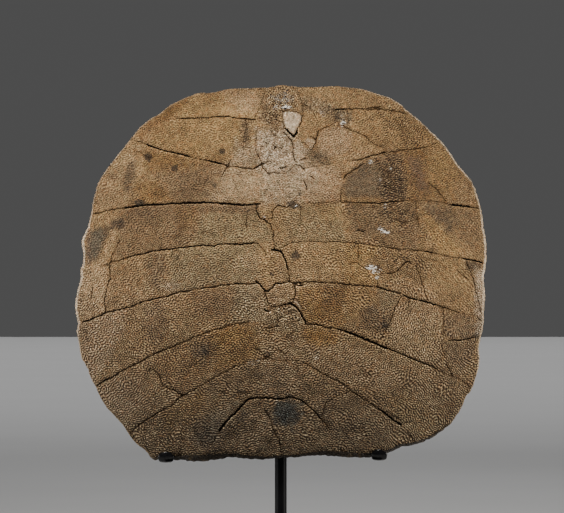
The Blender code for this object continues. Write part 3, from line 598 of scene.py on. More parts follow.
# Areas of another colour: pigment, strength, softness of the border in pixels, and the corners
ZONES = (
    # nuchal bone and the neurals
    ("cap", 0.20, 1.2, (
        (266, 86), (298, 87), (300, 98), (302, 112), (283, 113), (283, 122), (279, 129), (266, 124),
        (257, 120), (262, 107), (266, 95),
    )),
    ("cap", 0.18, 1.0, (
        (267, 88), (273, 92), (270, 104), (280, 114), (281, 124), (265, 124), (257, 117), (264, 99),
    )),
    ("pale_bone", 0.98, 5.0, (
        (256, 130), (285, 130), (294, 137), (308, 150), (303, 166), (300, 176), (262, 176), (256, 150),
    )),
    ("pale_bone", 0.40, 4.0, ((262, 174), (303, 172), (306, 190), (300, 203), (262, 203))),
    ("olive", 0.60, 2.0, ((272, 308), (294, 306), (303, 320), (300, 332), (275, 330), (266, 320))),
    ("light_tan", 0.90, 5.0, ((262, 335), (296, 335), (302, 392), (262, 394))),
    # first left plate
    ("golden", 0.45, 2.0, ((175, 102), (230, 91), (262, 90), (260, 119), (205, 117), (165, 117))),
    ("pink_tan", 0.55, 8.0, ((225, 91), (266, 87), (262, 107), (256, 114), (240, 112), (230, 104))),
    ("rust", 0.98, 4.0, ((150, 120), (176, 101), (190, 97), (184, 107), (172, 117), (150, 128))),
    # second left plate
    ("honey", 0.70, 2.0, (
        (176, 119), (240, 119), (240, 150), (232, 165), (199, 158), (170, 151), (150, 144), (152, 128),
    )),
    ("golden", 0.15, 4.0, ((190, 121), (228, 119), (232, 140), (212, 146), (192, 138))),
    ("ochre", 0.30, 4.0, ((180, 140), (200, 140), (206, 154), (196, 157), (180, 152))),
    ("grey_pale", 0.60, 7.0, ((236, 142), (256, 146), (261, 165), (250, 168), (230, 163))),
    ("umber", 0.70, 2.5, ((240, 119), (251, 120), (251, 140), (246, 150), (238, 146), (241, 132))),
    ("red_brown", 0.70, 3.0, ((136, 134), (152, 121), (168, 120), (164, 130), (148, 134), (142, 141))),
    # third left plate
    ("light_tan", 0.65, 3.0, (
        (100, 178), (118, 160), (136, 146), (144, 150), (132, 172), (128, 206), (95, 210),
    )),
    ("bronze", 0.85, 5.0, (
        (146, 150), (170, 153), (199, 160), (206, 164), (196, 172), (170, 176), (146, 172),
    )),
    ("umber", 0.80, 8.0, (
        (150, 172), (206, 164), (228, 167), (218, 180), (208, 201), (170, 203), (158, 190),
    )),
    ("dark_umber", 0.40, 5.0, ((176, 172), (206, 170), (214, 178), (205, 200), (180, 200))),
    ("bronze", 0.70, 4.0, ((134, 184), (158, 180), (172, 200), (150, 204), (138, 198))),
    ("dark_umber", 1.00, 3.5, ((126, 164), (136, 160), (137, 172), (131, 190), (124, 192), (122, 178))),
    ("umber", 0.65, 3.0, ((109, 173), (116, 170), (119, 178), (114, 182), (109, 180))),
    ("grey_pale", 0.42, 9.0, (
        (228, 166), (254, 169), (262, 166), (272, 175), (300, 176), (303, 203), (262, 204), (208, 202),
        (218, 180),
    )),
    # fourth left plate
    ("umber", 0.70, 2.0, (
        (118, 209), (160, 205), (205, 203), (203, 226), (188, 246), (128, 257), (112, 258), (118, 236),
    )),
    ("olive", 0.60, 2.0, (
        (203, 203), (258, 205), (259, 218), (273, 232), (273, 242), (205, 245), (190, 246), (200, 226),
    )),
    ("umber", 0.95, 2.0, (
        (125, 208), (160, 204), (205, 202), (258, 205), (256, 214), (205, 213), (128, 220),
    )),
    ("rust", 0.55, 5.0, ((175, 207), (198, 206), (196, 226), (180, 232))),
    ("dark_umber", 1.00, 2.5, (
        (91, 232), (99, 228), (109, 226), (110, 232), (103, 246), (98, 262), (88, 263), (88, 245),
    )),
    ("slate", 0.55, 3.0, ((92, 230), (102, 228), (104, 240), (96, 256), (88, 262), (88, 245))),
    ("light_tan", 0.60, 1.6, (
        (112, 230), (119, 232), (110, 250), (104, 264), (97, 266), (98, 258), (106, 246),
    )),
    ("plum", 0.55, 1.5, ((87, 228), (91, 228), (90, 250), (91, 268), (87, 268), (85.5, 250))),
    # fifth left plate
    ("light_tan", 0.15, 3.0, ((110, 264), (148, 254), (150, 300), (109, 311), (106, 292))),
    ("light_tan", 0.85, 2.5, (
        (84, 268), (97, 263), (109, 264), (107, 290), (104, 312), (82, 321), (77, 300),
    )),
    ("dark_umber", 0.70, 4.0, ((148, 254), (166, 251), (168, 270), (160, 290), (150, 288))),
    ("olive", 0.60, 3.0, (
        (170, 250), (205, 246), (257, 244), (262, 262), (256, 282), (214, 286), (172, 294),
    )),
    ("golden", 0.55, 2.5, ((260, 250), (276, 253), (279, 282), (267, 290), (258, 281))),
    # sixth left plate
    ("pink_tan", 0.45, 3.0, (
        (80, 324), (108, 313), (128, 309), (124, 330), (112, 356), (92, 380), (79, 352),
    )),
    ("umber", 0.65, 4.0, ((145, 303), (163, 299), (168, 335), (150, 345), (143, 325))),
    ("umber", 0.45, 3.0, ((193, 292), (240, 286), (240, 308), (222, 316), (196, 312))),
    ("olive", 0.70, 2.5, ((236, 286), (256, 284), (267, 300), (268, 322), (248, 321), (230, 322))),
    # seventh left plate
    ("red_brown", 0.60, 2.5, (
        (152, 358), (177, 346), (209, 333), (213, 352), (205, 380), (184, 394), (166, 386), (158, 374),
    )),
    ("orange", 0.48, 4.0, (
        (209, 333), (230, 327), (250, 323), (258, 340), (256, 358), (236, 364), (214, 372), (210, 352),
    )),
    ("pink_tan", 0.25, 4.0, ((98, 387), (124, 372), (138, 376), (146, 398), (122, 420), (108, 404))),
    ("orange", 0.40, 5.0, ((212, 334), (236, 326), (254, 326), (252, 338), (222, 346))),
    ("dark_umber", 0.45, 5.0, ((192, 342), (216, 340), (218, 358), (206, 366), (192, 360))),
    # eighth left plate
    ("umber", 0.40, 2.5, (
        (206, 384), (239, 366), (262, 361), (288, 362), (290, 394), (257, 396), (236, 396), (214, 398),
    )),
    ("orange", 0.40, 4.0, ((160, 412), (184, 399), (204, 390), (206, 406), (190, 424), (164, 426))),
    ("slate", 0.28, 5.0, (
        (190, 428), (214, 410), (234, 398), (240, 402), (222, 426), (214, 444), (196, 446),
    )),
    # within the arch
    ("umber", 0.22, 3.0, (
        (220, 434), (242, 406), (258, 399), (290, 398), (308, 406), (330, 432), (336, 454), (214, 454),
    )),
    ("dark_umber", 0.55, 2.5, ((236, 418), (243, 410), (249, 413), (244, 424), (236, 426))),
    ("light_tan", 0.50, 4.0, ((246, 410), (266, 406), (276, 430), (262, 450), (236, 446))),
    # first right plates
    ("red_brown", 0.15, 3.0, ((375, 94), (400, 104), (409, 113), (392, 110), (372, 106))),
    ("cap", 0.50, 3.0, ((301, 96), (318, 98), (334, 106), (326, 112), (303, 112))),
    ("stain", 0.36, 4.0, ((320, 106), (336, 106), (341, 112), (338, 121), (330, 122), (325, 116))),
    ("slate", 0.45, 2.5, ((338, 110), (352, 112), (352, 122), (346, 126), (338, 121))),
    ("pink_tan", 0.65, 1.6, (
        (319, 134), (326, 128), (342, 127), (352, 133), (350, 150), (338, 156), (322, 157), (318, 148),
    )),
    ("honey", 0.24, 3.0, ((352, 112), (385, 111), (402, 116), (398, 140), (380, 149), (360, 140))),
    ("stain", 0.55, 4.0, ((304, 150), (318, 147), (330, 154), (336, 160), (328, 166), (306, 166))),
    ("light_tan", 0.80, 3.0, (
        (335, 157), (352, 152), (370, 149), (372, 154), (358, 161), (350, 170), (340, 172),
    )),
    # third right plate
    ("pink_tan", 0.65, 3.0, ((304, 168), (338, 166), (342, 180), (338, 202), (303, 203), (307, 185))),
    ("dark_umber", 0.80, 3.5, (
        (346, 176), (360, 163), (376, 156), (390, 153), (402, 152), (406, 175), (408, 200), (345, 202),
        (343, 188),
    )),
    ("ash", 0.35, 6.0, (
        (346, 178), (360, 166), (374, 163), (380, 172), (378, 194), (350, 197), (344, 188),
    )),
    ("golden", 0.35, 2.0, ((342, 198), (380, 197), (380, 202), (342, 202))),
    ("rust", 0.62, 4.0, (
        (403, 152), (418, 149), (430, 152), (428, 176), (432, 200), (410, 200), (407, 176),
    )),
    ("plum", 0.62, 5.0, ((408, 156), (419, 158), (425, 178), (428, 192), (419, 190), (412, 174))),
    ("honey", 0.75, 4.0, ((430, 152), (446, 152), (458, 172), (452, 192), (434, 196))),
    ("umber", 0.28, 2.0, ((450, 158), (460, 170), (472, 190), (466, 188), (456, 174))),
    ("pink_tan", 0.10, 3.0, ((452, 180), (466, 182), (476, 200), (476, 206), (456, 204))),
    # fourth right plate
    ("olive", 0.55, 2.5, (
        (290, 207), (341, 203), (344, 222), (346, 242), (300, 242), (284, 246), (284, 222),
    )),
    ("golden", 0.40, 3.0, ((318, 206), (341, 204), (343, 220), (322, 222))),
    ("dark_umber", 0.70, 2.0, ((345, 204), (392, 204), (393, 222), (388, 232), (366, 236), (352, 228))),
    ("umber", 0.60, 3.0, ((350, 226), (396, 224), (402, 238), (398, 249), (364, 244), (350, 238))),
    ("dark_umber", 0.55, 2.5, ((394, 204), (408, 202), (418, 206), (418, 220), (406, 225), (396, 220))),
    ("umber", 0.80, 2.5, ((398, 225), (418, 223), (420, 240), (416, 250), (400, 250))),
    ("dark_umber", 1.00, 6.0, ((424, 204), (452, 206), (456, 222), (450, 234), (438, 224), (427, 214))),
    ("umber", 0.65, 3.0, ((456, 208), (478, 212), (482, 240), (474, 252), (462, 240), (454, 228))),
    ("golden", 0.75, 1.8, (
        (421, 210), (428, 214), (446, 234), (460, 250), (458, 257), (440, 254), (430, 236),
    )),
    # fifth right plate
    ("golden", 0.30, 3.0, ((284, 248), (344, 243), (346, 282), (300, 282), (289, 280))),
    ("golden", 0.80, 2.0, (
        (346, 244), (378, 247), (372, 258), (362, 264), (380, 276), (377, 286), (346, 284),
    )),
    ("dark_umber", 0.95, 2.0, ((464, 259), (484, 263), (480, 270), (470, 270))),
    ("honey", 0.30, 3.0, (
        (432, 256), (462, 262), (472, 274), (476, 300), (456, 308), (440, 300), (436, 276),
    )),
    ("light_tan", 0.35, 3.0, ((392, 276), (404, 280), (428, 288), (438, 302), (404, 294), (390, 289))),
    # sixth right plate
    ("ochre", 0.85, 2.0, ((298, 287), (322, 285), (324, 300), (316, 323), (306, 322), (299, 306))),
    ("rust", 0.78, 3.0, ((320, 285), (346, 285), (348, 300), (338, 312), (322, 308))),
    ("orange", 0.45, 3.0, ((316, 306), (342, 306), (346, 322), (340, 328), (316, 323))),
    ("golden", 0.55, 2.5, ((346, 286), (376, 288), (378, 302), (366, 306), (356, 320), (346, 318))),
    ("olive", 0.55, 2.0, ((378, 289), (398, 294), (398, 304), (390, 314), (380, 308))),
    ("dark_umber", 0.55, 3.0, ((360, 310), (374, 303), (392, 310), (391, 330), (376, 336), (360, 326))),
    ("slate", 0.10, 4.0, ((362, 308), (378, 304), (391, 318), (388, 332), (372, 326))),
    ("light_tan", 0.55, 2.5, (
        (396, 304), (420, 302), (440, 310), (442, 330), (440, 366), (406, 355), (388, 345), (391, 326),
    )),
    ("umber", 0.80, 2.0, ((443, 314), (460, 313), (480, 320), (478, 338), (450, 340), (444, 330))),
    ("dark_umber", 0.45, 2.0, ((466, 326), (480, 322), (479, 339), (464, 340))),
    ("umber", 0.85, 2.5, ((446, 342), (476, 340), (474, 356), (462, 372), (450, 362))),
    ("umber", 0.28, 2.5, ((442, 338), (448, 340), (456, 372), (446, 372), (441, 352))),
    # seventh right plate
    ("light_tan", 0.68, 4.0, (
        (300, 334), (345, 340), (380, 356), (400, 380), (380, 392), (340, 380), (300, 360),
    )),
    ("orange", 0.75, 4.0, ((304, 328), (332, 330), (340, 342), (318, 348), (304, 340))),
    ("light_tan", 0.35, 4.0, ((380, 350), (410, 362), (448, 376), (452, 390), (420, 400), (392, 382))),
    ("golden", 0.30, 4.0, ((392, 392), (424, 402), (440, 420), (424, 436), (404, 424), (384, 408))),
    ("red_brown", 0.55, 2.5, ((438, 406), (452, 400), (458, 406), (448, 420), (438, 418))),
    # eighth right plate
    ("umber", 0.36, 3.0, (
        (290, 363), (320, 373), (338, 382), (362, 400), (400, 426), (392, 446), (338, 452), (320, 416),
        (300, 398),
    )),
    ("dark_umber", 0.32, 3.0, ((316, 404), (330, 396), (336, 404), (330, 420), (320, 418))),
    # painted highlight along the worn right edge, where the turning surface catches the right lamp
    ("pale_bone", 0.90, 4.0, ((475, 268), (484, 270), (484, 335), (477, 335))),
)

# Rounded areas of another colour: pigment, centre, half width and half height in pixels, turn in
# degrees, and strength
SPOTS = (
    ("grey_pale", 170, 286, 10, 5, 0, 0.40), ("umber", 153, 265, 8, 9, 0, 0.40),
    ("grey_pale", 271, 145, 7, 16, 0, 0.5), ("slate", 200, 350, 9, 6, 0, 0.30),
    ("slate", 286, 412, 15, 14, 0, 0.85), ("slate", 286, 412, 12, 11, 0, 0.6),
    ("pink_tan", 293, 120, 5, 6, 0, 0.7), ("cream", 286.5, 124, 2, 6, -30, 0.4),
    ("stain", 205, 440, 14, 9, 0, 0.40), ("grey_pale", 307, 178, 17, 16, 0, 0.60),
    ("slate", 352, 186, 10, 9, 0, 0.12), ("slate", 430, 205, 10, 8, 0, 0.10),
    ("ochre", 262, 92, 10, 5, 0, 0.35), ("light_tan", 274, 312, 30, 26, 0, 0.35),
    ("golden", 152, 200, 10, 2.6, 0, 0.6), ("red_brown", 140, 154, 7, 5, 0, 0.6),
    ("umber", 264, 104, 4, 14, -15, 0.7), ("dark_umber", 270, 121, 13, 6, 20, 0.6),
    # The wide light_tan spot at (287, 264) is painted light: it brightens the middle of the shell
    ("light_tan", 287, 264, 46, 36, 0, 0.40), ("slate", 215, 432, 13, 18, 0, 0.22),
    ("light_tan", 250, 258, 16, 10, 0, 0.25), ("cream", 317, 357, 3, 2, 0, 0.45),
    ("stain", 316, 352, 4, 2, 0, 0.5), ("plum", 117, 224, 9, 5, 0, 0.45),
)

# Soft dark stains: centre, half width and half height in pixels, turn in degrees, and strength
DARK_PATCHES = (
    (246, 134, 4, 14, 0, 0.50), (318, 158, 12, 7, 10, 0.50), (330, 111, 13, 6, 15, 0.45),
    (337, 117, 3.5, 4.5, 0, 0.65), (148.5, 157, 4.5, 4.5, 0, 1.0), (174, 168.5, 3.8, 3.8, 0, 1.0),
    (268, 354, 4, 5, 0, 0.6), (245, 415, 6, 5, 0, 0.4), (130, 172, 5, 11, 15, 0.30),
    (139, 202.5, 7, 4.5, 0, 0.75), (117, 224, 10, 7, 0, 0.60), (223, 151.5, 4, 4, 0, 0.85),
    (238, 174, 3, 3, 0, 0.45), (214.5, 185.5, 3, 4, 0, 0.6), (207, 194, 4, 3, 20, 0.5),
    (424, 336, 6, 3, 0, 0.45), (388, 356.5, 4, 2.5, 0, 0.40), (448, 243, 6, 3, 20, 0.35),
    (135, 154, 6, 3, 10, 0.45), (139, 188.5, 3, 2, 0, 0.5), (111, 177, 4, 3, 30, 0.45),
    (437, 203, 3, 2, 0, 0.45), (319, 353, 3, 2, 20, 0.5), (293, 205, 8, 4, 10, 0.95),
    (295, 256, 6, 6, 0, 0.75), (258, 213, 4, 4, 0, 0.5), (246, 223, 4, 5, 0, 0.4),
    (205, 352, 6, 5, 20, 0.62), (385, 325, 6, 5, 20, 0.62), (373, 311, 8, 4, 10, 0.45),
    (377, 319, 14, 11, 0, 0.28), (243, 392, 6, 4, 0, 0.5), (405, 119, 5, 4, 0, 0.12),
    (415, 215, 8, 8, 0, 0.25), (266, 354, 4, 4, 0, 0.5), (176, 257, 5, 4, 0, 0.4),
    (477, 336, 6, 4, 0, 0.55), (272, 274, 3, 3, 0, 0.8), (300, 194, 2, 2, 0, 0.7),
    (265, 101, 3.5, 12, -18, 0.20), (270, 119, 9, 5, 20, 0.15), (160, 247, 6, 4, 0, 0.35),
    (188, 226, 8, 5, 0, 0.25), (286, 412, 13, 12, 0, 0.35), (470, 268, 8, 6, 20, 0.50),
    (232, 448, 20, 8, 0, 0.30),
)

# White patches on the bone, given the same way
WHITE_PATCHES = (
    (287, 107, 6.0, 2.0, 5, 0.62), (277, 108, 5, 3.0, 0, 0.24), (343, 124, 3.0, 4.0, 30, 0.40),
    (342, 117, 3, 5, 0, 0.18), (322, 113, 2.5, 6, -40, 0.22), (283, 98, 12, 7, 0, 0.22),
    (370.5, 161.5, 2.4, 3.0, 0, 0.40), (385, 206, 2.6, 3.0, 0, 0.28), (383.5, 230.5, 4.4, 2.4, 25, 0.95),
    (387, 232.5, 3.2, 1.6, 30, 0.45), (371, 267.5, 5.0, 2.6, 10, 0.95), (377, 270, 4.6, 2.6, 0, 0.90),
    (372.5, 272, 3.0, 1.6, 20, 0.60), (377, 278, 2.8, 2.0, 0, 0.42), (254, 362, 7, 3.0, -15, 0.25),
    (391, 168.5, 1.8, 1.4, 0, 0.34), (380, 180, 1.6, 3.0, 0, 0.26), (264, 218, 2.0, 2.4, 0, 0.40),
    (296, 206, 1.8, 1.4, 0, 0.60), (272, 154, 8, 5, 0, 0.20), (270, 140, 4, 9, 0, 0.16),
)

# Places of coarse, speckled bone
COARSE_PATCHES = (
    (275, 148, 20, 22, 0, 0.72), (270, 190, 22, 12, 0, 0.35), (400, 225, 20, 16, 0, 0.35),
    (300, 170, 20, 16, 0, 0.25), (282, 101, 16, 14, 0, 1.0), (270, 118, 13, 9, 20, 0.9),
    (322, 108, 18, 9, 0, 0.55), (342, 119, 10, 12, 0, 0.95), (392, 181, 14, 26, -5, 0.65),
    (400, 214, 22, 11, 0, 0.65), (285, 312, 18, 16, 0, 0.75), (246, 134, 8, 16, 0, 0.55),
    (405, 262, 14, 9, 0, 0.55), (315, 158, 14, 8, 0, 0.40), (292, 205, 9, 5, 0, 0.8),
    (287, 410, 13, 11, 0, 0.50), (375, 270, 10, 8, 0, 0.40), (205, 351, 9, 7, 0, 0.45),
    (385, 326, 11, 9, 0, 0.45), (408, 128, 34, 16, 35, 0.25), (415, 118, 20, 8, 40, 0.30),
    (247, 150, 6, 12, 0, 0.40), (470, 266, 9, 7, 0, 0.45), (235, 168, 20, 5, 10, 0.25),
)

# Places where the pits are deeper than elsewhere
DEEP_PATCHES = (
    (392, 181, 14, 28, -5, 1.15), (404, 130, 32, 16, 35, 0.55), (398, 213, 20, 12, 0, 0.45),
    (281, 100, 18, 16, 0, 0.70), (372, 250, 30, 10, 5, 0.35), (410, 265, 20, 12, 0, 0.40),
    (240, 440, 60, 22, 0, 0.35), (330, 435, 40, 20, 0, 0.30), (165, 430, 34, 24, 0, 0.75),
    (430, 400, 30, 26, 0, 0.25), (250, 345, 60, 40, 0, 0.20),
)

# Places where the pits are all but worn away
WORN_PATCHES = (
    (358, 184, 20, 13, 0, 0.35), (275, 150, 20, 20, 0, 0.30), (255, 185, 40, 18, 0, 0.45),
    (305, 180, 25, 22, 0, 0.40), (292, 124, 9, 10, 0, 0.70), (430, 205, 14, 8, 0, 0.45),
    (235, 112, 30, 9, 0, 0.45), (150, 170, 20, 16, 0, 0.25), (470, 245, 10, 20, 0, 0.35),
    (101, 280, 8, 26, 0, 0.15), (300, 160, 14, 8, 0, 0.35), (262, 250, 8, 12, 0, 0.35),
    (456, 285, 30, 62, 0, 0.32), (100, 250, 26, 60, 0, 0.26),
)

# Tints laid over the bone's colour, and the colours of what lies on it; the pit tint is also painted shade in
# the hollows, the crest tint also painted highlight on the crests, and the lip tint painted highlight on the
# cracks' lower lips
PIT_SHADE_AND_DARK_TINT = (0.215, 0.165, 0.115)
CREST_HIGHLIGHT_AND_LIGHT_TINT = (1.62, 1.74, 1.92)
LIP_HIGHLIGHT = (2.20, 2.40, 2.70)
FLECK_TINT = (0.27, 0.20, 0.12)
MOTTLE_TINT = (0.66, 0.63, 0.58)
STAIN_TINT = (0.27, 0.27, 0.28)
WHITE_PATCH_COLOUR = (0.980, 0.930, 0.840)
CRACK_BROWN = (0.040, 0.022, 0.010)
CRACK_BLACK = (0.004, 0.003, 0.002)

# Noises in the bone's material: scale, detail and roughness
BONE_NOISES = {
    "broad": (16.0, 3.0, 0.55),
    "patchy": (62.0, 3.0, 0.6),
    "mottle": (130.0, 3.0, 0.7),
    "fray": (150.0, 2.0, 0.6),
    "blotch": (190.0, 3.0, 0.65),
    "hue": (280.0, 2.0, 0.6),
    "uneven": (380.0, 1.0, 0.5),
    "scuff": (390.0, 2.0, 0.7),
    "speck": (480.0, 2.0, 0.6),
    "chip_fleck": (600.0, 1.0, 0.5),
    "waver": (650.0, 1.0, 0.5),
    "grain": (900.0, 2.0, 0.6),
}
STREAK_STRETCH = (1.0, 1.0, 2.3)
STREAK_NOISE = (330.0, 1.0, 0.5)

# Where in the pitting the hollows and crests start and end, how much their painted shade and painted
# highlight count, the most that the gain of the pitting multiplies that by, and the share of the inner side's
# own tone
HOLLOW_RANGE = (0.15, -1.00)
CREST_RANGE = (0.33, 1.12)
HOLLOW_SHADE_SHARE = 0.86
CREST_HIGHLIGHT_SHARE = 0.75
MOST_TINT_GAIN = 1.45
INNER_TINT_SHARE = 0.55

# What noises and cracks add to the bone's bump, and the depth of each material's bump
BUMP_SHARES = (("grain", 0.22), ("scuff", 0.70), ("speck", 0.50))
CRACK_BUMP = -1.2
BONE_BUMP = 1.35 * MM
STEEL_BUMP = 0.03 * MM
FELT_BUMP = 0.25 * MM

# Tints under and over the pits, in order: the noise, where it starts and ends to count, the most that
# it counts, what else that is multiplied by, and the tint
UNDER_LAYERS = (
    ("broad", 0.62, 0.36, 0.8, None, (0.84, 0.80, 0.76)),
    ("patchy", 0.46, 0.72, 1.0, "calm", (1.22, 1.22, 1.24)),
    ("patchy", 0.48, 0.30, 1.0, "calm", (0.76, 0.74, 0.70)),
    ("scuff", 0.50, 0.68, 1.0, "calm", (1.50, 1.52, 1.58)),
    ("scuff", 0.50, 0.32, 1.0, "calm", (0.48, 0.44, 0.40)),
    ("hue", 0.50, 0.70, 0.8, None, (1.10, 0.92, 0.76)),
    ("hue", 0.50, 0.32, 0.8, None, (0.92, 1.00, 0.94)),
)
OVER_LAYERS = (
    ("grain", 0.35, 0.70, 0.40, None, PIT_SHADE_AND_DARK_TINT),
    ("speck", 0.50, 0.34, 1.0, "dark_speck", PIT_SHADE_AND_DARK_TINT),
    ("speck", 0.51, 0.68, 1.0, "light_speck", CREST_HIGHLIGHT_AND_LIGHT_TINT),
    ("chip_fleck", 0.49, 0.37, 1.0, "coarse", FLECK_TINT),
    ("chip_fleck", 0.52, 0.63, 1.0, "coarse", CREST_HIGHLIGHT_AND_LIGHT_TINT),
    ("mottle", 0.50, 0.32, 0.6, "coarse", MOTTLE_TINT),
)

# Steel, felt and floor: their noises, and the tones between which these run
CLOUD_NOISE = (35.0, 3.0, 0.6)
PEEL_NOISE = (1400.0, 2.0, 0.5)
FIBRE_NOISE = (2600.0, 3.0, 0.7)
FLOOR_NOISE = (3.0, 2.0, 0.5)
STEEL_TONES = ((0.0025, 0.0025, 0.003), (0.007, 0.007, 0.008))
FELT_TONES = ((0.008, 0.008, 0.008), (0.035, 0.035, 0.036))
FLOOR_TONES = ((0.56, 0.56, 0.56), (0.60, 0.60, 0.60))
STEEL_CLOUDING = 0.14

# Black steel: roughness where it is clearest, and specular level
PLAIN_STEEL = (0.32, 0.08)
GLOSSY_STEEL = (0.08, 0.30)

FLOOR_REACH = 12.0
WHITE = (1.0, 1.0, 1.0)
WORLD_GREY = (0.80, 0.80, 0.80, 1.0)
WORLD_STRENGTH = 0.10


def on_plane(points):
    """The (x, z) in metres of points given in the photograph's pixels."""
    points = np.asarray(points, float)
    x = (points[..., 0] - MIDLINE_PX) * PX
    z = CARAPACE_BOTTOM_Z + (PHOTO_BOTTOM - points[..., 1]) * PX
    return np.stack([x, z], axis=-1)


CENTRE_Z = float(on_plane((MIDLINE_PX, (PHOTO_TOP + PHOTO_BOTTOM) / 2))[1])
HALF_LENGTH = (PHOTO_BOTTOM - PHOTO_TOP) * PX / 2
CAMERA_X, CAMERA_Z = (float(v) for v in on_plane((PHOTO_WIDTH / 2, PHOTO_HEIGHT / 2)))


def dome_y(x, z):
    """Depth of the outer face, without its relief."""
    side = np.abs(x) / (CARAPACE_WIDTH / 2)
    end = np.abs(z - CENTRE_Z) / HALF_LENGTH
    boss_x, boss_z = on_plane(NUCHAL_BOSS_PX)
    boss = np.exp(-((x - boss_x) ** 2 + (z - boss_z) ** 2) / NUCHAL_BOSS_RADIUS**2)
    drop = SIDE_DROP * side**DOME_POWER + END_DROP * end**DOME_POWER
    return CROWN_Y + drop - NUCHAL_BOSS_HEIGHT * boss


def link(name, data):
    """A new object in the scene."""
    obj = bpy.data.objects.new(name, data)
    bpy.context.scene.collection.objects.link(obj)
    return obj


# Smooth random fields, as sums of waves


def wave_set(rng, count, wavelength, spread, depth_share):
    """Wave vectors of nearly one length, their directions spread evenly in the (x, z) plane."""
    angles = (np.arange(count) + rng.uniform(0.0, 1.0, count)) * math.pi / count
    lengths = math.tau / (wavelength * rng.uniform(1 - spread, 1 + spread, count))
    tilts = rng.uniform(-depth_share, depth_share, count)
    vectors = np.stack([np.cos(angles), tilts, np.sin(angles)], axis=1) * lengths[:, None]
    phases = rng.uniform(0.0, math.tau, count)
    return vectors, phases


def ripple_flow(x, z):
    """How far the waves lean towards one direction: its doubled angle as a vector, times its clearness."""
    total = np.full(x.shape, RIPPLE_FLOOR)
    lean = np.zeros((2, *x.shape))
    for px, py, degrees, clearness in RIPPLES:
        cx, cz = on_plane((px, py))
        weight = np.exp(-((x - cx) ** 2 + (z - cz) ** 2) / (RIPPLE_REACH * PX) ** 2)
        doubled = 2 * math.radians(degrees + 90)
        lean[0] += weight * clearness * math.cos(doubled)
        lean[1] += weight * clearness * math.sin(doubled)
        total += weight
    return lean / total


def wave_leanings(vectors):
    """The doubled direction of each wave, as a unit vector."""
    doubled = 2 * np.arctan2(vectors[:, 2], vectors[:, 0])
    return np.stack([np.cos(doubled), np.sin(doubled)], axis=1)


def ripple_sum(places, vectors, phases, flow):
    """The sum of the waves, each stronger where the ripples run its way."""
    total = np.zeros(len(places))
    for vector, phase, (across, upward) in zip(vectors, phases, wave_leanings(vectors)):
        total += (1 + flow[0] * across + flow[1] * upward) * np.sin(places @ vector + phase)
    return total * math.sqrt(2 / len(phases)) / np.sqrt(1 + 0.5 * (flow**2).sum(axis=0))


def wave_sum(places, vectors, phases):
    """The sum of the waves at places of shape (n, 3), with a spread of about one."""
    total = np.zeros(len(places))
    for vector, phase in zip(vectors, phases):
        total += np.sin(places @ vector + phase)
    return total * math.sqrt(2 / len(phases))


# Lines and outlines


def closed_curve(points):
    """A smooth curve through every point of a ring."""
    before = np.roll(points, 1, axis=0)
    after = np.roll(points, -1, axis=0)
    beyond = np.roll(points, -2, axis=0)
    parts = []
    for t in np.arange(OUTLINE_STEPS) / OUTLINE_STEPS:
        linear = (after - before) * t
        square = (2 * before - 5 * points + 4 * after - beyond) * t**2
        cube = (3 * points - 3 * after + beyond - before) * t**3
        parts.append(0.5 * (2 * points + linear + square + cube))
    return np.stack(parts, axis=1).reshape(-1, 2)


def ring_normals(ring):
    """Outward unit normals of a counterclockwise ring of points."""
    tangent = np.roll(ring, -2, axis=0) - np.roll(ring, 2, axis=0)
    normal = np.stack([tangent[:, 1], -tangent[:, 0]], axis=1)
    return normal / np.linalg.norm(normal, axis=1, keepdims=True)


def along_line(points):
    """Distance from the start of a line to each of its points."""
    lengths = np.linalg.norm(np.diff(points, axis=0), axis=1)
    return np.concatenate([[0.0], np.cumsum(lengths)])


def ragged(points, rng, step, amount):
    """A line resampled at about the step, with a random sideways jitter at all but its ends."""
    reached = along_line(points)
    count = max(2, int(round(reached[-1] / step)) + 1)
    stations = np.linspace(0.0, reached[-1], count)
    line = np.stack([np.interp(stations, reached, points[:, k]) for k in range(2)], axis=1)
    jitter = rng.normal(0.0, amount, line.shape)
    jitter[[0, -1]] = 0.0
    return line + jitter


def smoothed(ring, reach):
    """A ring whose points are averages over their neighbours on both sides."""
    return sum(np.roll(ring, step, axis=0) for step in range(-reach, reach + 1)) / (2 * reach + 1)


def nearest_points(places, line):
    """For each place, the number of the line's point that is nearest to it."""
    return [int(np.argmin(((line - place) ** 2).sum(axis=1))) for place in places]


def rim_values(outline):
    """How far the rim spreads, and its tone, at each point of the outline."""
    keys = np.array(RIM_PLACES)
    nearest = nearest_points(on_plane(keys[:, :2]), outline)
    order = np.argsort(nearest)
    stations = np.array(nearest)[order]
    along = np.arange(len(outline))
    widths = np.interp(along, stations, keys[order, 2] * PX, period=len(outline))
    tones = np.interp(along, stations, keys[order, 3], period=len(outline))
    return widths, tones


def contains(ring, x, z):
    """True for the points (x, z) inside a ring."""
    inside = np.zeros(np.shape(x), bool)
    for (x0, z0), (x1, z1) in zip(ring, np.roll(ring, -1, axis=0)):
        if z0 == z1:
            continue
        crosses = (z0 > z) != (z1 > z)
        inside ^= crosses & (x < (x1 - x0) * (z - z0) / (z1 - z0) + x0)
    return inside


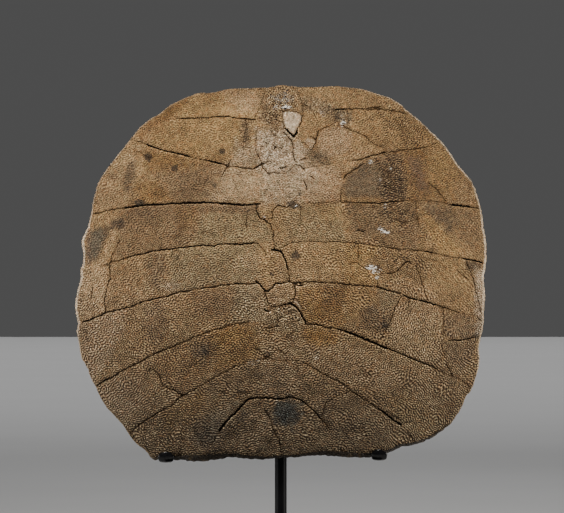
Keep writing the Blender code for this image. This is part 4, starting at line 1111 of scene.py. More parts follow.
class Lattice:
    """Rows of evenly spread points in the plane, shaped so that a line only visits its neighbours."""

    def __init__(self, low, high, spacing, rng):
        self.spacing = spacing
        self.row_height = spacing * math.sqrt(3) / 2
        self.low = low
        columns = int((high[0] - low[0]) / spacing) + 2
        rows = int((high[1] - low[1]) / self.row_height) + 2
        i, j = np.meshgrid(np.arange(columns), np.arange(rows))
        self.x = low[0] + (i + 0.5 * (j % 2)) * spacing
        self.z = low[1] + j * self.row_height
        self.jitter = rng.uniform(-LATTICE_JITTER, LATTICE_JITTER, (2, rows, columns)) * spacing

    def window(self, start, stop, reach):
        """The rows and columns of the points within reach of a segment."""
        rows, columns = self.x.shape
        left = (min(start[0], stop[0]) - reach - self.low[0]) / self.spacing - 1
        right = (max(start[0], stop[0]) + reach - self.low[0]) / self.spacing + 1
        below = (min(start[1], stop[1]) - reach - self.low[1]) / self.row_height - 1
        above = (max(start[1], stop[1]) + reach - self.low[1]) / self.row_height + 1
        across = slice(max(0, int(left)), min(columns, int(right) + 1))
        up = slice(max(0, int(below)), min(rows, int(above) + 1))
        return up, across

    def triangles(self):
        rows, columns = self.x.shape
        index = np.arange(rows * columns).reshape(rows, columns)
        a, b = index[:-1, :-1], index[:-1, 1:]
        c, d = index[1:, :-1], index[1:, 1:]
        even = (np.arange(rows - 1) % 2 == 0)[:, None] & np.ones_like(a, bool)
        first = np.where(even[..., None], np.stack([a, b, c], -1), np.stack([a, d, c], -1))
        second = np.where(even[..., None], np.stack([b, d, c], -1), np.stack([a, b, d], -1))
        return np.concatenate([first.reshape(-1, 3), second.reshape(-1, 3)])


def to_segment(x, z, start, stop):
    """Nearest point on a segment, the distance to it, and which side of it the point lies on."""
    along = stop - start
    length = float(np.hypot(*along)) or 1e-9
    share = ((x - start[0]) * along[0] + (z - start[1]) * along[1]) / length**2
    share = np.clip(share, 0.0, 1.0)
    near_x = start[0] + share * along[0]
    near_z = start[1] + share * along[1]
    side = np.sign(along[0] * (z - start[1]) - along[1] * (x - start[0]))
    return near_x, near_z, np.hypot(x - near_x, z - near_z), side


def line_distance(x, z, line):
    """Distance to a line through points."""
    distance = np.full(x.shape, 1.0)
    for start, stop in zip(line, line[1:]):
        distance = np.minimum(distance, to_segment(x, z, start, stop)[2])
    return distance


def closed(ring):
    return np.vstack([ring, ring[:1]])


class LineField:
    """For every lattice point: the nearest of many lines, its distance, side and strength."""

    def __init__(self, lattice, lines, reach):
        shape = lattice.x.shape
        self.distance = np.full(shape, reach)
        self.side = np.ones(shape)
        self.strength = np.zeros(shape)
        self.x = lattice.x.copy()
        self.z = lattice.z.copy()
        self.groove = np.zeros(shape)
        for strength, line in lines:
            line = line if line[0][0] < line[-1][0] else line[::-1]
            half_width = (GROOVE_HALF_WIDTH + GROOVE_HALF_WIDTH * strength) * MM
            for start, stop in zip(line, line[1:]):
                cut = lattice.window(start, stop, reach)
                x, z, distance, side = to_segment(lattice.x[cut], lattice.z[cut], start, stop)
                nearer = distance < self.distance[cut]
                self.distance[cut][nearer] = distance[nearer]
                self.side[cut][nearer] = side[nearer]
                self.strength[cut][nearer] = strength
                self.x[cut][nearer] = x[nearer]
                self.z[cut][nearer] = z[nearer]
                groove = strength * np.exp(-((distance / half_width) ** 2))
                self.groove[cut] = np.maximum(self.groove[cut], groove)


# Colours and other values laid on the bone area by area


def soft_patches(x, z, patches, warp):
    """Strengths of the strongest patch at each place, with uneven edges."""
    total = np.zeros_like(x)
    for px, py, half_width, half_height, turn, strength in patches:
        cx, cz = on_plane((px, py))
        across = (x - cx) / PX
        upward = (z - cz) / PX
        cosine, sine = math.cos(math.radians(turn)), math.sin(math.radians(turn))
        u = (across * cosine - upward * sine) / half_width
        v = (across * sine + upward * cosine) / half_height
        reach = np.sqrt(u * u + v * v) * (1 + PATCH_UNEVENNESS * warp)
        share = np.clip((PATCH_REACH - reach) / PATCH_FADE, 0.0, 1.0) ** PATCH_POWER
        total = np.maximum(total, strength * share)
    return np.clip(total, 0.0, 1.0)


def zone_share(x, z, corners, softness, warp):
    """One inside a polygon, nothing outside it, with a soft and uneven border between."""
    ring = on_plane(corners)
    reach = (softness + ZONE_MARGIN) * PX
    low, high = ring.min(axis=0) - reach, ring.max(axis=0) + reach
    near = (x > low[0]) & (x < high[0]) & (z > low[1]) & (z < high[1])
    near_x, near_z = x[near], z[near]
    distance = line_distance(near_x, near_z, closed(ring))
    signed = np.where(contains(ring, near_x, near_z), distance, -distance) / PX
    level = np.clip(0.5 + 0.5 * signed / softness + ZONE_UNEVENNESS * warp[near], 0.0, 1.0)
    share = np.zeros_like(x)
    share[near] = level * level * (3 - 2 * level)
    return share


def blend(colours, pigment, share):
    return colours + share[:, None] * (np.array(PIGMENTS[pigment]) - colours)


def paint(x, z, warp):
    """The bone's colour at each place: zones and spots laid over its tan, with painted light by height over
    all.
    """
    row = PHOTO_BOTTOM - (z - CARAPACE_BOTTOM_Z) / PX
    colours = np.tile(PIGMENTS["tan"], (len(x), 1))
    for pigment, *patch in WASHES:
        colours = blend(colours, pigment, soft_patches(x, z, (patch,), warp))
    for pigment, strength, softness, corners in ZONES:
        colours = blend(colours, pigment, strength * zone_share(x, z, corners, softness, warp))
    for pigment, *patch in SPOTS:
        colours = blend(colours, pigment, soft_patches(x, z, (patch,), warp))
    # Painted light: each row of the bone scaled brighter or darker by height
    light_by_height = [np.interp(row, PAINTED_LIGHT_ROWS, values) for values in (PAINTED_LIGHT_RED, PAINTED_LIGHT_GREEN, PAINTED_LIGHT_BLUE)]
    return colours * np.stack(light_by_height, axis=1)


def chip_field(x, z):
    """Height, paleness and smoothness of the raised chips."""
    fields = np.zeros((3, len(x)))
    for lift, paler, smoother, corners in CHIPS:
        inside = contains(on_plane(corners), x, z)
        fields[:, inside] = np.array([[lift * MM], [paler], [smoother]])
    return fields


def fold_field(x, z):
    """Height of the long swellings and hollows."""
    lift = np.zeros_like(x)
    for height, half_width, points in FOLDS:
        distance = line_distance(x, z, on_plane(points))
        lift += height * MM * np.exp(-((distance / (half_width * PX)) ** 2))
    return lift


# The inner side


def suture_heights(x):
    """Height of each line between the costals at these places across, one row a line."""
    return np.array([np.interp(x, *on_plane(line).T) for line in RIB_LINES])


def suture_side(x, z):
    """Height over the nearest line between the costals."""
    over = z - suture_heights(x)
    return over[np.abs(over).argmin(axis=0), np.arange(len(x))]


def rib_share(x, z):
    """One along the middle of each costal, falling to nothing at its sutures."""
    heights = suture_heights(x)
    edges = np.vstack([heights[0] + RIB_MARGINS[0], heights, heights[-1] - RIB_MARGINS[1]])
    above = np.sum(heights > z, axis=0)
    column = np.arange(len(x))
    upper, lower = edges[above, column], edges[above + 1, column]
    share = (z - lower) / np.maximum(upper - lower, LEAST_RIB)
    return np.clip(1 - np.abs(share - 0.5) * RIB_SHARPNESS, 0.0, 1.0) ** RIB_POWER


def inner_mask(cloud, cover, wide, small, level, most):
    """Patches of the inner side, where these waves together rise over a level."""
    return np.clip(wide * cloud + small * cover - level, 0.0, most)


# The mesh of the carapace


def spread_doubles(places):
    """A closed line in which places that fall on one another are spread between their neighbours."""
    places = places.copy()
    count = len(places)
    for i in range(count):
        for reach in (1, 2, 3):
            last = (i + reach) % count
            if np.linalg.norm(places[i] - places[last]) > DOUBLE_DISTANCE:
                continue
            start, end = places[i - 1].copy(), places[(last + 1) % count].copy()
            for step in range(reach + 1):
                places[(i + step) % count] = start + (end - start) * (step + 1) / (reach + 2)
    return places


def boundary_edges(triangles):
    """The edges that have a triangle on one side only."""
    edges = np.concatenate([triangles[:, [0, 1]], triangles[:, [1, 2]], triangles[:, [2, 0]]])
    keys = np.sort(edges, axis=1)
    _, first, counts = np.unique(keys, axis=0, return_index=True, return_counts=True)
    return edges[first[counts == 1]]


def longest_ring(triangles):
    """The longest chain of boundary edges of a sheet of triangles, as vertex numbers."""
    follow = {int(a): int(b) for a, b in boundary_edges(triangles)}
    rings = []
    while follow:
        start, current = follow.popitem()
        ring = [start]
        while current != start:
            ring.append(current)
            current = follow.pop(current)
        rings.append(ring)
    return np.array(max(rings, key=len))


def twice_area(x, z, triangles):
    a, b, c = triangles.T
    return (x[b] - x[a]) * (z[c] - z[a]) - (z[b] - z[a]) * (x[c] - x[a])


def without_pinches(triangles, on_rim):
    """Drops triangles until no boundary point is passed twice."""
    while True:
        starts, counts = np.unique(boundary_edges(triangles)[:, 0], return_counts=True)
        pinched = starts[counts > 1]
        if not len(pinched):
            return triangles
        touching = np.isin(triangles, pinched).any(axis=1)
        loose = touching & on_rim[triangles].all(axis=1)
        triangles = triangles[~(loose if loose.any() else touching)]


def snap(lattice, wanted, field):
    """Moves points onto the nearest line, but for those that would squash a triangle."""
    triangles = lattice.triangles()
    start_x, start_z = lattice.x.ravel(), lattice.z.ravel()
    wanted = wanted.ravel()
    for _ in range(SNAP_ROUNDS):
        x = np.where(wanted, field.x.ravel(), start_x)
        z = np.where(wanted, field.z.ravel(), start_z)
        squashed = twice_area(x, z, triangles) < LEAST_AREA * FRONT_SPACING**2
        if not squashed.any():
            break
        wanted[triangles[squashed].ravel()] = False
    lattice.x = x.reshape(lattice.x.shape)
    lattice.z = z.reshape(lattice.z.shape)


def in_millimetres(x, z, y):
    return np.stack([x, y, z], axis=-1) / MM


def waves_at(waves, x, z, y):
    return wave_sum(in_millimetres(x, z, y), *waves)


class Carapace:
    """Points, triangles and surface attributes of the whole bone."""

    def __init__(self):
        self.rng = np.random.default_rng(SEED)
        self.pit_vectors, self.pit_phases = wave_set(self.rng, *PIT_WAVES)
        self.rough_waves = wave_set(self.rng, *ROUGH_WAVES)
        self.lump_waves = wave_set(self.rng, *LUMP_WAVES)
        self.small_lump_waves = wave_set(self.rng, *SMALL_LUMP_WAVES)
        self.warp_waves = [wave_set(self.rng, *WARP_WAVES) for _ in range(3)]
        self.edge_waves = wave_set(self.rng, *EDGE_WAVES)
        self.make_outlines()
        self.make_front()
        self.make_rim()
        self.make_back()

    def make_outlines(self):
        """The outline of the rim, and within it that of the outer face."""
        outline = closed_curve(on_plane(OUTLINE))
        rough = self.rng.normal(0.0, OUTLINE_ROUGHNESS, len(outline))
        self.outline = outline + ring_normals(outline) * rough[:, None]
        self.widths, self.tones = rim_values(self.outline)
        self.face_outline = self.outline - ring_normals(self.outline) * self.widths[:, None]

    def pit_place(self, x, z, y):
        """Where a point lies in the frame of the pitting, gently warped."""
        place = in_millimetres(x, z, y)
        shifts = [wave_sum(place, *waves) for waves in self.warp_waves]
        height = np.clip((place[:, 2] - PIT_FRAME_BOTTOM) / PIT_FRAME_HEIGHT, 0.0, 1.0)
        place[:, 0] *= PIT_ACROSS_BELOW + PIT_ACROSS_GROWTH * height
        place[:, 2] += PIT_UPWARD_GROWTH * PIT_FRAME_HEIGHT * height**2
        return place + PIT_WARP * np.stack(shifts, axis=1)

    def make_front(self):
        """The outer face: a lattice drawn onto the outline and the cracks, and cut along the outline."""
        low = self.outline.min(axis=0) - 3 * FRONT_SPACING
        high = self.outline.max(axis=0) + 3 * FRONT_SPACING
        lattice = Lattice(low, high, FRONT_SPACING, self.rng)
        rim_lines = [(1.0, closed(self.face_outline))]
        crack_and_shadow_lines = [
            (strength, ragged(on_plane(points), self.rng, CRACK_STEP, CRACK_JITTER))
            for strength, points in CRACKS_AND_CHIP_SHADOWS
        ]
        rim = LineField(lattice, rim_lines, RIM_REACH)
        cracks = LineField(lattice, crack_and_shadow_lines, CRACK_REACH)
        from_line = np.minimum(rim.distance, cracks.distance) / FRONT_SPACING
        free = np.clip(from_line - JITTER_CLEARANCE, 0.0, 1.0)
        lattice.x += lattice.jitter[0] * free
        lattice.z += lattice.jitter[1] * free

        reach = SNAP_SHARE * FRONT_SPACING
        snap(lattice, (cracks.distance < reach) & (cracks.strength > SNAP_STRENGTH), cracks)
        rim = LineField(lattice, rim_lines, RIM_REACH)
        on_rim = rim.distance < reach
        lattice.x = np.where(on_rim, rim.x, lattice.x)
        lattice.z = np.where(on_rim, rim.z, lattice.z)
        cracks = LineField(lattice, crack_and_shadow_lines, CRACK_REACH)

        triangles = self.sheet(lattice, on_rim.ravel())
        used = np.unique(triangles)
        renumber = np.full(lattice.x.size, -1)
        renumber[used] = np.arange(len(used))
        self.front = renumber[triangles]
        self.x, self.z = lattice.x.ravel()[used], lattice.z.ravel()[used]
        self.crack_distance = cracks.distance.ravel()[used]
        self.crack_side = (cracks.side * cracks.distance).ravel()[used]
        self.crack_strength = cracks.strength.ravel()[used]
        rim_distance = np.where(on_rim, 0.0, rim.distance)
        self.paint_front(cracks.groove.ravel()[used], rim_distance.ravel()[used])

    def sheet(self, lattice, on_rim):
        """The lattice's triangles within the outline of the outer face."""
        x, z = lattice.x.ravel(), lattice.z.ravel()
        kept = contains(self.face_outline, x, z) | on_rim
        triangles = lattice.triangles()
        triangles = triangles[kept[triangles].all(axis=1)]
        middle_x, middle_z = x[triangles].mean(axis=1), z[triangles].mean(axis=1)
        doubtful = on_rim[triangles].all(axis=1)
        inside = np.ones(len(triangles), bool)
        inside[doubtful] = contains(self.face_outline, middle_x[doubtful], middle_z[doubtful])
        triangles = triangles[inside]
        flat = on_rim[triangles].all(axis=1) & (twice_area(x, z, triangles) < FLAT_AREA)
        return without_pinches(triangles[~flat], on_rim)

    def paint_front(self, groove, rim_distance):
        """Relief and colour of the outer face."""
        x, z = self.x, self.z
        base = dome_y(x, z)
        warp = waves_at(self.small_lump_waves, x, z, base)
        fray = FRAYING * warp + FRAYING * waves_at(self.edge_waves, x, z, base)
        chip_height, chip_pale, chip_smooth = chip_field(x, z)
        self.pigment = blend(paint(x, z, fray), "chip", chip_pale)
        self.dark = soft_patches(x, z, DARK_PATCHES, fray)
        self.white = soft_patches(x, z, WHITE_PATCHES, fray)
        self.coarse = soft_patches(x, z, COARSE_PATCHES, fray)
        self.inner = np.zeros_like(x)
        deep = soft_patches(x, z, DEEP_PATCHES, warp)
        worn = soft_patches(x, z, WORN_PATCHES, warp)

        near_crack = np.exp(-((self.crack_distance / CRACK_CALM) ** 2)) * self.crack_strength
        height = np.clip(0.5 + 0.5 * (z - CENTRE_Z) / HALF_LENGTH, 0.0, 1.0)
        gain = (1.0 + deep) * (1.0 - worn) * (1.0 - chip_smooth) * (1.0 - 0.5 * near_crack)
        self.pit_gain = np.clip(gain * np.interp(height, PIT_HEIGHTS, PIT_GAINS), *PIT_GAIN_LIMITS)
        bias = PIT_BIAS_LOW + (PIT_BIAS_HIGH - PIT_BIAS_LOW) * height
        self.pit_bias = bias + PIT_BIAS_DEEP * deep - PIT_BIAS_WORN * worn

        place = self.pit_place(x, z, base)
        pits = ripple_sum(place, self.pit_vectors, self.pit_phases, ripple_flow(x, z))
        pits = np.clip(pits, -PIT_LIMIT, PIT_LIMIT) / PIT_LIMIT
        lumps = waves_at(self.lump_waves, x, z, base) + SMALL_LUMP_SHARE * warp
        rough = np.clip(waves_at(self.rough_waves, x, z, base), *ROUGH_LIMITS)
        lift = PIT_RELIEF * self.pit_gain * pits + ROUGH_RELIEF * np.maximum(deep, self.coarse) * rough
        lift += LUMP_RELIEF * lumps + fold_field(x, z) + chip_height
        lift -= CRACK_DEPTH * groove
        self.y = base - lift + EDGE_ROUNDING * np.exp(-rim_distance / EDGE_ROUNDING_REACH)

    def grow(self, x, z, y, pigment, **masks):
        """Adds vertices; a mask that isn't named is zero there."""
        start = len(self.x)
        zero = np.zeros_like(x)
        far = np.full_like(x, CRACK_REACH)
        added = {"x": x, "z": z, "y": y, "pigment": pigment}
        added |= {"crack_distance": far, "crack_side": far, "crack_strength": zero}
        for name in ("dark", "white", "coarse", "pit_gain", "pit_bias", "inner"):
            added[name] = masks.get(name, zero)
        for name, values in added.items():
            setattr(self, name, np.concatenate([getattr(self, name), values]))
        return np.arange(start, start + len(x))

    def make_rim(self):
        """The broken edge, from the outer face's boundary back to the inner side."""
        ring = longest_ring(self.front)
        flat = np.stack([self.x[ring], self.z[ring]], axis=1)
        nearest = nearest_points(flat, self.face_outline)
        stray = np.linalg.norm(flat - self.face_outline[nearest], axis=1) > STRAY_DISTANCE
        flat[stray] = self.face_outline[nearest][stray]
        flat = spread_doubles(flat)
        normal = ring_normals(self.outline)[nearest]
        width = smoothed(self.widths[nearest], RIM_SMOOTHING)
        tone = self.tones[nearest]
        under = np.clip(-tone, 0.0, 1.0)
        self.rim_faces = []
        before = ring
        for depth, spread, low_spread, highlight_share in zip(RIM_DEPTHS, RIM_SPREADS, UNDER_SPREADS, RIM_HIGHLIGHT_SHARES):
            reach = width * (spread + (low_spread - spread) * under)
            place = flat + normal * reach[:, None]
            face_y = dome_y(place[:, 0], place[:, 1])
            chips = waves_at(self.edge_waves, place[:, 0], place[:, 1], face_y + depth * RING_STRIDE)
            chipping = RIM_CHIPPING * np.clip(chips, *RIM_CHIP_LIMITS) * (1 + under)
            place = place + normal * chipping[:, None]
            if depth == RIM_DEPTHS[-1]:
                place = smoothed(place, LAST_RING_SMOOTHING)
            y = face_y + depth + (RIM_WAVINESS + UNDER_WAVINESS * under) * MM * chips
            # Painted highlight on the broken edge where its tone is pale
            pale = np.clip(tone, 0.0, 1.0) * highlight_share
            # Painted shade on the underside of the broken edge, lighter on the lumps but not where all is
            # dark
            lumps = np.clip(chips - LUMP_LEVEL, 0.0, 1.0) * (under < ALL_DARK)
            shade = np.clip(UNDER_SHADE * under, 0.0, MOST_SHADE) * (1 - LUMP_LIGHTENING * lumps)
            pigment = blend(blend(self.pigment[ring], "cream", pale), "underside_shade", shade)
            inner = depth / RIM_DEPTHS[-1] * RIM_INNER_SHARE * (1 - under)
            pit_gain = RIM_PIT_GAIN - HIGHLIGHT_RIM_CALM * pale
            new = self.grow(place[:, 0], place[:, 1], y, pigment, pit_gain=pit_gain, inner=inner)
            pairs = np.stack([before, np.roll(before, -1), np.roll(new, -1), new], axis=1)
            self.rim_faces += [pairs[:, [0, 2, 1]], pairs[:, [0, 3, 2]]]
            before = new
        self.back_ring = before

    def make_back(self):
        """The inner side, a coarser sheet within the last ring of the rim."""
        ring = np.stack([self.x[self.back_ring], self.z[self.back_ring]], axis=1)
        lattice = Lattice(ring.min(axis=0), ring.max(axis=0), BACK_SPACING, self.rng)
        lattice.x += lattice.jitter[0] * BACK_JITTER
        lattice.z += lattice.jitter[1] * BACK_JITTER
        from_edge = LineField(lattice, [(1.0, closed(ring))], RIM_REACH).distance
        inside = contains(ring, lattice.x, lattice.z) & (from_edge > BACK_CLEARANCE * BACK_SPACING)
        x, z = lattice.x[inside], lattice.z[inside]
        y = dome_y(x, z) + self.inner_depth(x, z, from_edge[inside])
        cloud = waves_at(self.lump_waves, x, z, x * 0)
        cover = waves_at(self.small_lump_waves, x, z, x * 0)
        spine = np.exp(-((x / SPINE_HALF_WIDTH) ** 2))
        shade = INNER_BASE_TONE + INNER_RIB_TONE * rib_share(x, z) + INNER_SPINE_TONE * spine
        shade = shade + INNER_CLOUD_TONE * cloud + INNER_COVER_TONE * cover
        pigment = np.array(PIGMENTS["inner"]) * np.clip(shade, *INNER_SHADES)[:, None]
        new = self.grow(
            x, z, y, pigment,
            inner=np.full_like(x, INNER_SHARE),
            pit_gain=np.full_like(x, INNER_PIT_GAIN),
            dark=inner_mask(cloud, cover, *INNER_STAINS),
            coarse=inner_mask(cloud, cover, *INNER_COARSENESS),
        )
        side = suture_side(x, z) + SUTURE_WAVER * cover
        self.crack_distance[new] = SUTURE_NEARNESS
        self.crack_side[new] = side
        self.crack_strength[new] = SUTURE_STRENGTH * np.clip(1 - np.abs(side) / SUTURE_BAND, 0.0, 1.0)
        self.back = self.sewn(new, ring)

    def sewn(self, new, ring):
        """Triangles over the new points and the last ring of the rim."""
        numbers = np.concatenate([self.back_ring, new])
        points = [Vector((float(self.x[n]), float(self.z[n]))) for n in numbers]
        count = len(self.back_ring)
        edges = [(i, (i + 1) % count) for i in range(count)]
        _, _, found, origins, _, _ = delaunay_2d_cdt(points, edges, [], 0, CDT_TOLERANCE)
        faces = np.array([[numbers[origins[v][0]] for v in face] for face in found])
        faces = faces[contains(ring, self.x[faces].mean(axis=1), self.z[faces].mean(axis=1))]
        wrong = twice_area(self.x, self.z, faces) > 0
        faces[wrong] = faces[wrong][:, [0, 2, 1]]
        return faces

    def inner_depth(self, x, z, from_edge):
        """Depth of the inner side behind the outer face: ribs, vertebrae and thinner plates between."""
        across = np.abs(x) / (CARAPACE_WIDTH / 2)
        waist = (1 - VERTEBRA_WAIST) + VERTEBRA_WAIST * np.cos(z * math.tau / VERTEBRA_LENGTH)
        spine = np.exp(-((x / VERTEBRA_HALF_WIDTH) ** 2)) * waist
        neural = np.exp(-((x / NEURAL_HALF_WIDTH) ** 2))
        rib = rib_share(x, z) * RIB_HEIGHT * np.clip(RIB_REACH - across, 0, 1)
        settle = np.clip(from_edge / INNER_SETTLING, 0.0, 1.0)
        lumps = INNER_LUMPS * waves_at(self.small_lump_waves, x, z, x * 0)
        full = NEURAL_THICKENING * neural + VERTEBRA_HEIGHT * spine + rib + lumps
        return BONE_THICKNESS + full * settle

    def points(self):
        """Final places: seen from the camera, each lies where the photograph shows it."""
        share = (CAMERA_DISTANCE + self.y) / CAMERA_DISTANCE
        x = CAMERA_X + (self.x - CAMERA_X) * share
        z = CAMERA_Z + (self.z - CAMERA_Z) * share
        return np.stack([x, self.y, z], axis=1)

    def faces(self):
        return np.concatenate([self.front, *self.rim_faces, self.back])

    def attributes(self):
        """What the material reads from the mesh, three numbers at each point under each name."""
        flow = ripple_flow(self.x, self.z)
        flow_scale = 1 / np.sqrt(1 + 0.5 * (flow**2).sum(axis=0))
        return {
            "pit_place": self.pit_place(self.x, self.z, self.y),
            "pigment": self.pigment,
            "flow": np.stack([*flow, flow_scale], axis=1),
            "marks": np.stack([self.dark, self.white, self.inner], axis=1),
            "pitting": np.stack([self.pit_gain, self.pit_bias, self.coarse], axis=1),
            "crack": np.stack(
                [self.crack_distance / MM, self.crack_side / MM, self.crack_strength], axis=1
            ),
        }


def make_carapace():
    bone = Carapace()
    mesh = bpy.data.meshes.new("carapace_bone")
    mesh.from_pydata(bone.points().tolist(), [], bone.faces().tolist())
    mesh.shade_smooth()
    for name, values in bone.attributes().items():
        layer = mesh.attributes.new(name, "FLOAT_VECTOR", "POINT")
        layer.data.foreach_set("vector", np.asarray(values, np.float32).ravel())
    return link("carapace_bone", mesh), bone


# The claws


def place_on_path(path, share):
    """Place on a bent path of (y, z) at a share of its length, and the direction there."""
    reached = along_line(path)
    reached /= reached[-1]
    ahead, behind = min(share + CLAW_LOOK, 1.0), max(share - CLAW_LOOK, 0.0)
    place, front, rear = (
        np.array([np.interp(at, reached, path[:, k]) for k in range(2)]) for at in (share, ahead, behind)
    )
    along = front - rear
    return place, along / np.linalg.norm(along)


def claw_path(lip_y, sole_z, lip_top):
    """A path of (y, z) with cut corners: down the leg, forward along the sole, and up the lip."""
    path = np.array([
        (CLAW_LEG_Y, CLAW_TOP_Z), (CLAW_LEG_Y, sole_z + CLAW_BEND), (CLAW_LEG_Y - CLAW_BEND, sole_z),
        (lip_y + CLAW_BEND, sole_z), (lip_y, sole_z + CLAW_BEND), (lip_y + CLAW_LIP_LEAN, lip_top),
    ])
    for _ in range(CORNER_ROUNDS):
        near, far = path[:-1], path[1:]
        cut = np.stack([0.75 * near + 0.25 * far, 0.25 * near + 0.75 * far], axis=1)
        path = np.concatenate([path[:1], cut.reshape(-1, 2), path[-1:]])
    return path


def claw_half_width(share):
    half_width = np.interp(share, CLAW_WIDTH_SHARES, CLAW_HALF_WIDTHS)
    if share > CLAW_TIP_START:
        rest = (share - CLAW_TIP_START) / (1 - CLAW_TIP_START)
        half_width *= math.sqrt(max(1 - rest**CLAW_TIP_POWER, CLAW_TIP_LEAST))
    return half_width


def make_claw(name, x, lip_y, sole_z, lip_top, turn):
    """A bent strip: down behind the rim, forward under it, and up in front as a rounded pad."""
    path = claw_path(lip_y, sole_z, lip_top)
    shares = np.concatenate([np.linspace(*CLAW_LEG_STATIONS), np.linspace(*CLAW_LIP_STATIONS)])
    vertices, faces = [], []
    for share in shares:
        place, along = place_on_path(path, share)
        across = np.array([-along[1], along[0]])
        half_width = claw_half_width(share)
        lip = np.clip((share - CLAW_LIP_START) / CLAW_LIP_LENGTH, 0.0, 1.0)
        for u, v in CLAW_SECTION:
            side = u * half_width
            depth = v * CLAW_HALF_THICKNESS * (1 - CLAW_LIP_THINNING * lip * abs(u))
            y, z = place + across * depth
            vertices.append((x + side, y + turn * lip * side, z))
    count = len(CLAW_SECTION)
    for start in range(0, len(vertices) - count, count):
        for k in range(count):
            a, b = start + k, start + (k + 1) % count
            faces.append((a, a + count, b + count, b))
    faces.append(tuple(range(count)))
    faces.append(tuple(range(len(vertices) - 1, len(vertices) - count - 1, -1)))
    mesh = bpy.data.meshes.new(name)
    mesh.from_pydata(vertices, [], faces)
    mesh.shade_smooth()
    return link(name, mesh)


# Materials


class Tree:
    """Short names for the nodes that the materials use."""

    def __init__(self, name):
        self.material = bpy.data.materials.new(name)
        self.material.use_nodes = True
        self.nodes = self.material.node_tree.nodes
        self.links = self.material.node_tree.links
        self.shader = self.nodes["Principled BSDF"]

    def put(self, node, key, value):
        """Links a socket, or sets its number, vector or (red, green, blue)."""
        socket = node.inputs[key]
        if isinstance(value, bpy.types.NodeSocket):
            self.links.new(value, socket)
        elif socket.type == "RGBA":
            socket.default_value = (*value, 1.0)
        else:
            socket.default_value = value

    def finish(self, **values):
        """Puts values into the shader; the spaces in a socket's name are written as underscores."""
        for name, value in values.items():
            self.put(self.shader, name.replace("_", " "), value)
        return self.material

    def math(self, operation, *values):
        node = self.nodes.new("ShaderNodeMath")
        node.operation = operation
        for key, value in enumerate(values):
            self.put(node, key, value)
        return node.outputs[0]

    def product(self, first, *others):
        for value in others:
            first = self.math("MULTIPLY", first, value)
        return first

    def line(self, value, slope, offset):
        """The value times the slope, plus the offset."""
        return self.math("MULTIPLY_ADD", value, slope, offset)

    def vector(self, operation, vector, constant, output):
        node = self.nodes.new("ShaderNodeVectorMath")
        node.operation = operation
        self.put(node, 0, vector)
        self.put(node, 1, constant)
        return node.outputs[output]

    def ramp(self, value, low, high, start=0.0, stop=1.0):
        """A smooth step from start to stop as the value goes from low to high."""
        node = self.nodes.new("ShaderNodeMapRange")
        node.interpolation_type = "SMOOTHSTEP"
        for key, number in enumerate((value, low, high, start, stop)):
            self.put(node, key, number)
        return node.outputs[0]

    def mix(self, share, first, second, kind="MIX"):
        node = self.nodes.new("ShaderNodeMix")
        node.data_type = "RGBA"
        node.blend_type = kind
        self.put(node, 0, share)
        self.put(node, 6, first)
        self.put(node, 7, second)
        return node.outputs[2]

    def tint(self, colour, share, tint):
        return self.mix(share, colour, tint, "MULTIPLY")

    def noise(self, vector, scale, detail, roughness):
        node = self.nodes.new("ShaderNodeTexNoise")
        for key, value in zip(("Vector", "Scale", "Detail", "Roughness"), (vector, scale, detail, roughness)):
            self.put(node, key, value)
        return node.outputs[0]

    def attribute(self, name, output):
        node = self.nodes.new("ShaderNodeAttribute")
        node.attribute_name = name
        return node.outputs[output]

    def split(self, name):
        node = self.nodes.new("ShaderNodeSeparateXYZ")
        self.put(node, 0, self.attribute(name, "Vector"))
        return node.outputs[0], node.outputs[1], node.outputs[2]

    def place(self):
        return self.nodes.new("ShaderNodeTexCoord").outputs["Object"]

    def bump(self, height, distance):
        node = self.nodes.new("ShaderNodeBump")
        self.put(node, "Height", height)
        self.put(node, "Distance", distance)
        self.put(node, "Strength", 1.0)
        return node.outputs[0]


def bone_pits(tree, bone):
    """The mesh's pits once more, with the finest of their form: the same waves, added up in the material."""
    pit_place = tree.attribute("pit_place", "Vector")
    flow_across, flow_upward, flow_scale = tree.split("flow")
    total, leaning_across, leaning_upward = 0.0, 0.0, 0.0
    leanings = wave_leanings(bone.pit_vectors)
    for vector, phase, (across, upward) in zip(bone.pit_vectors, bone.pit_phases, leanings):
        angle = tree.math("ADD", tree.vector("DOT_PRODUCT", pit_place, tuple(vector), "Value"), float(phase))
        wave = tree.math("SINE", angle)
        total = tree.math("ADD", total, wave)
        leaning_across = tree.line(wave, float(across), leaning_across)
        leaning_upward = tree.line(wave, float(upward), leaning_upward)
    total = tree.line(leaning_across, flow_across, total)
    total = tree.line(leaning_upward, flow_upward, total)
    return tree.product(total, flow_scale, math.sqrt(2 / len(bone.pit_phases)))


def crack_and_shadow_marks(tree, noises):
    """How much of a line, of the brown beside it and of its lit lip there is, and its strength; the lines are
    cracks and a few painted shadows beside the chips, and the lip is a painted highlight.
    """
    near, side, strength = tree.split("crack")
    width = tree.line(tree.product(strength, strength), 0.64, 0.25)
    fray = tree.ramp(noises["fray"], 0.30, 0.62, 0.58, 1.25)
    waver = tree.product(tree.line(noises["waver"], 0.9, 0.55), fray)
    share = tree.math("DIVIDE", tree.math("ABSOLUTE", side), tree.product(width, waver))
    line = tree.product(
        tree.ramp(share, 1.25, 0.65), tree.ramp(near, 1.6, 1.2), tree.ramp(strength, 0.02, 0.52)
    )
    halo = tree.product(tree.ramp(near, 3.0, 0.3, 0.0, 0.38), strength)
    past = tree.math("SUBTRACT", near, width)
    lip = tree.product(
        tree.ramp(past, 0.10, 0.40), tree.ramp(past, 1.50, 0.80), tree.ramp(side, 0.0, -0.10),
        tree.ramp(strength, 0.55, 1.0), tree.ramp(noises["blotch"], 0.35, 0.60, 0.20, 1.0),
    )
    return line, halo, lip, strength


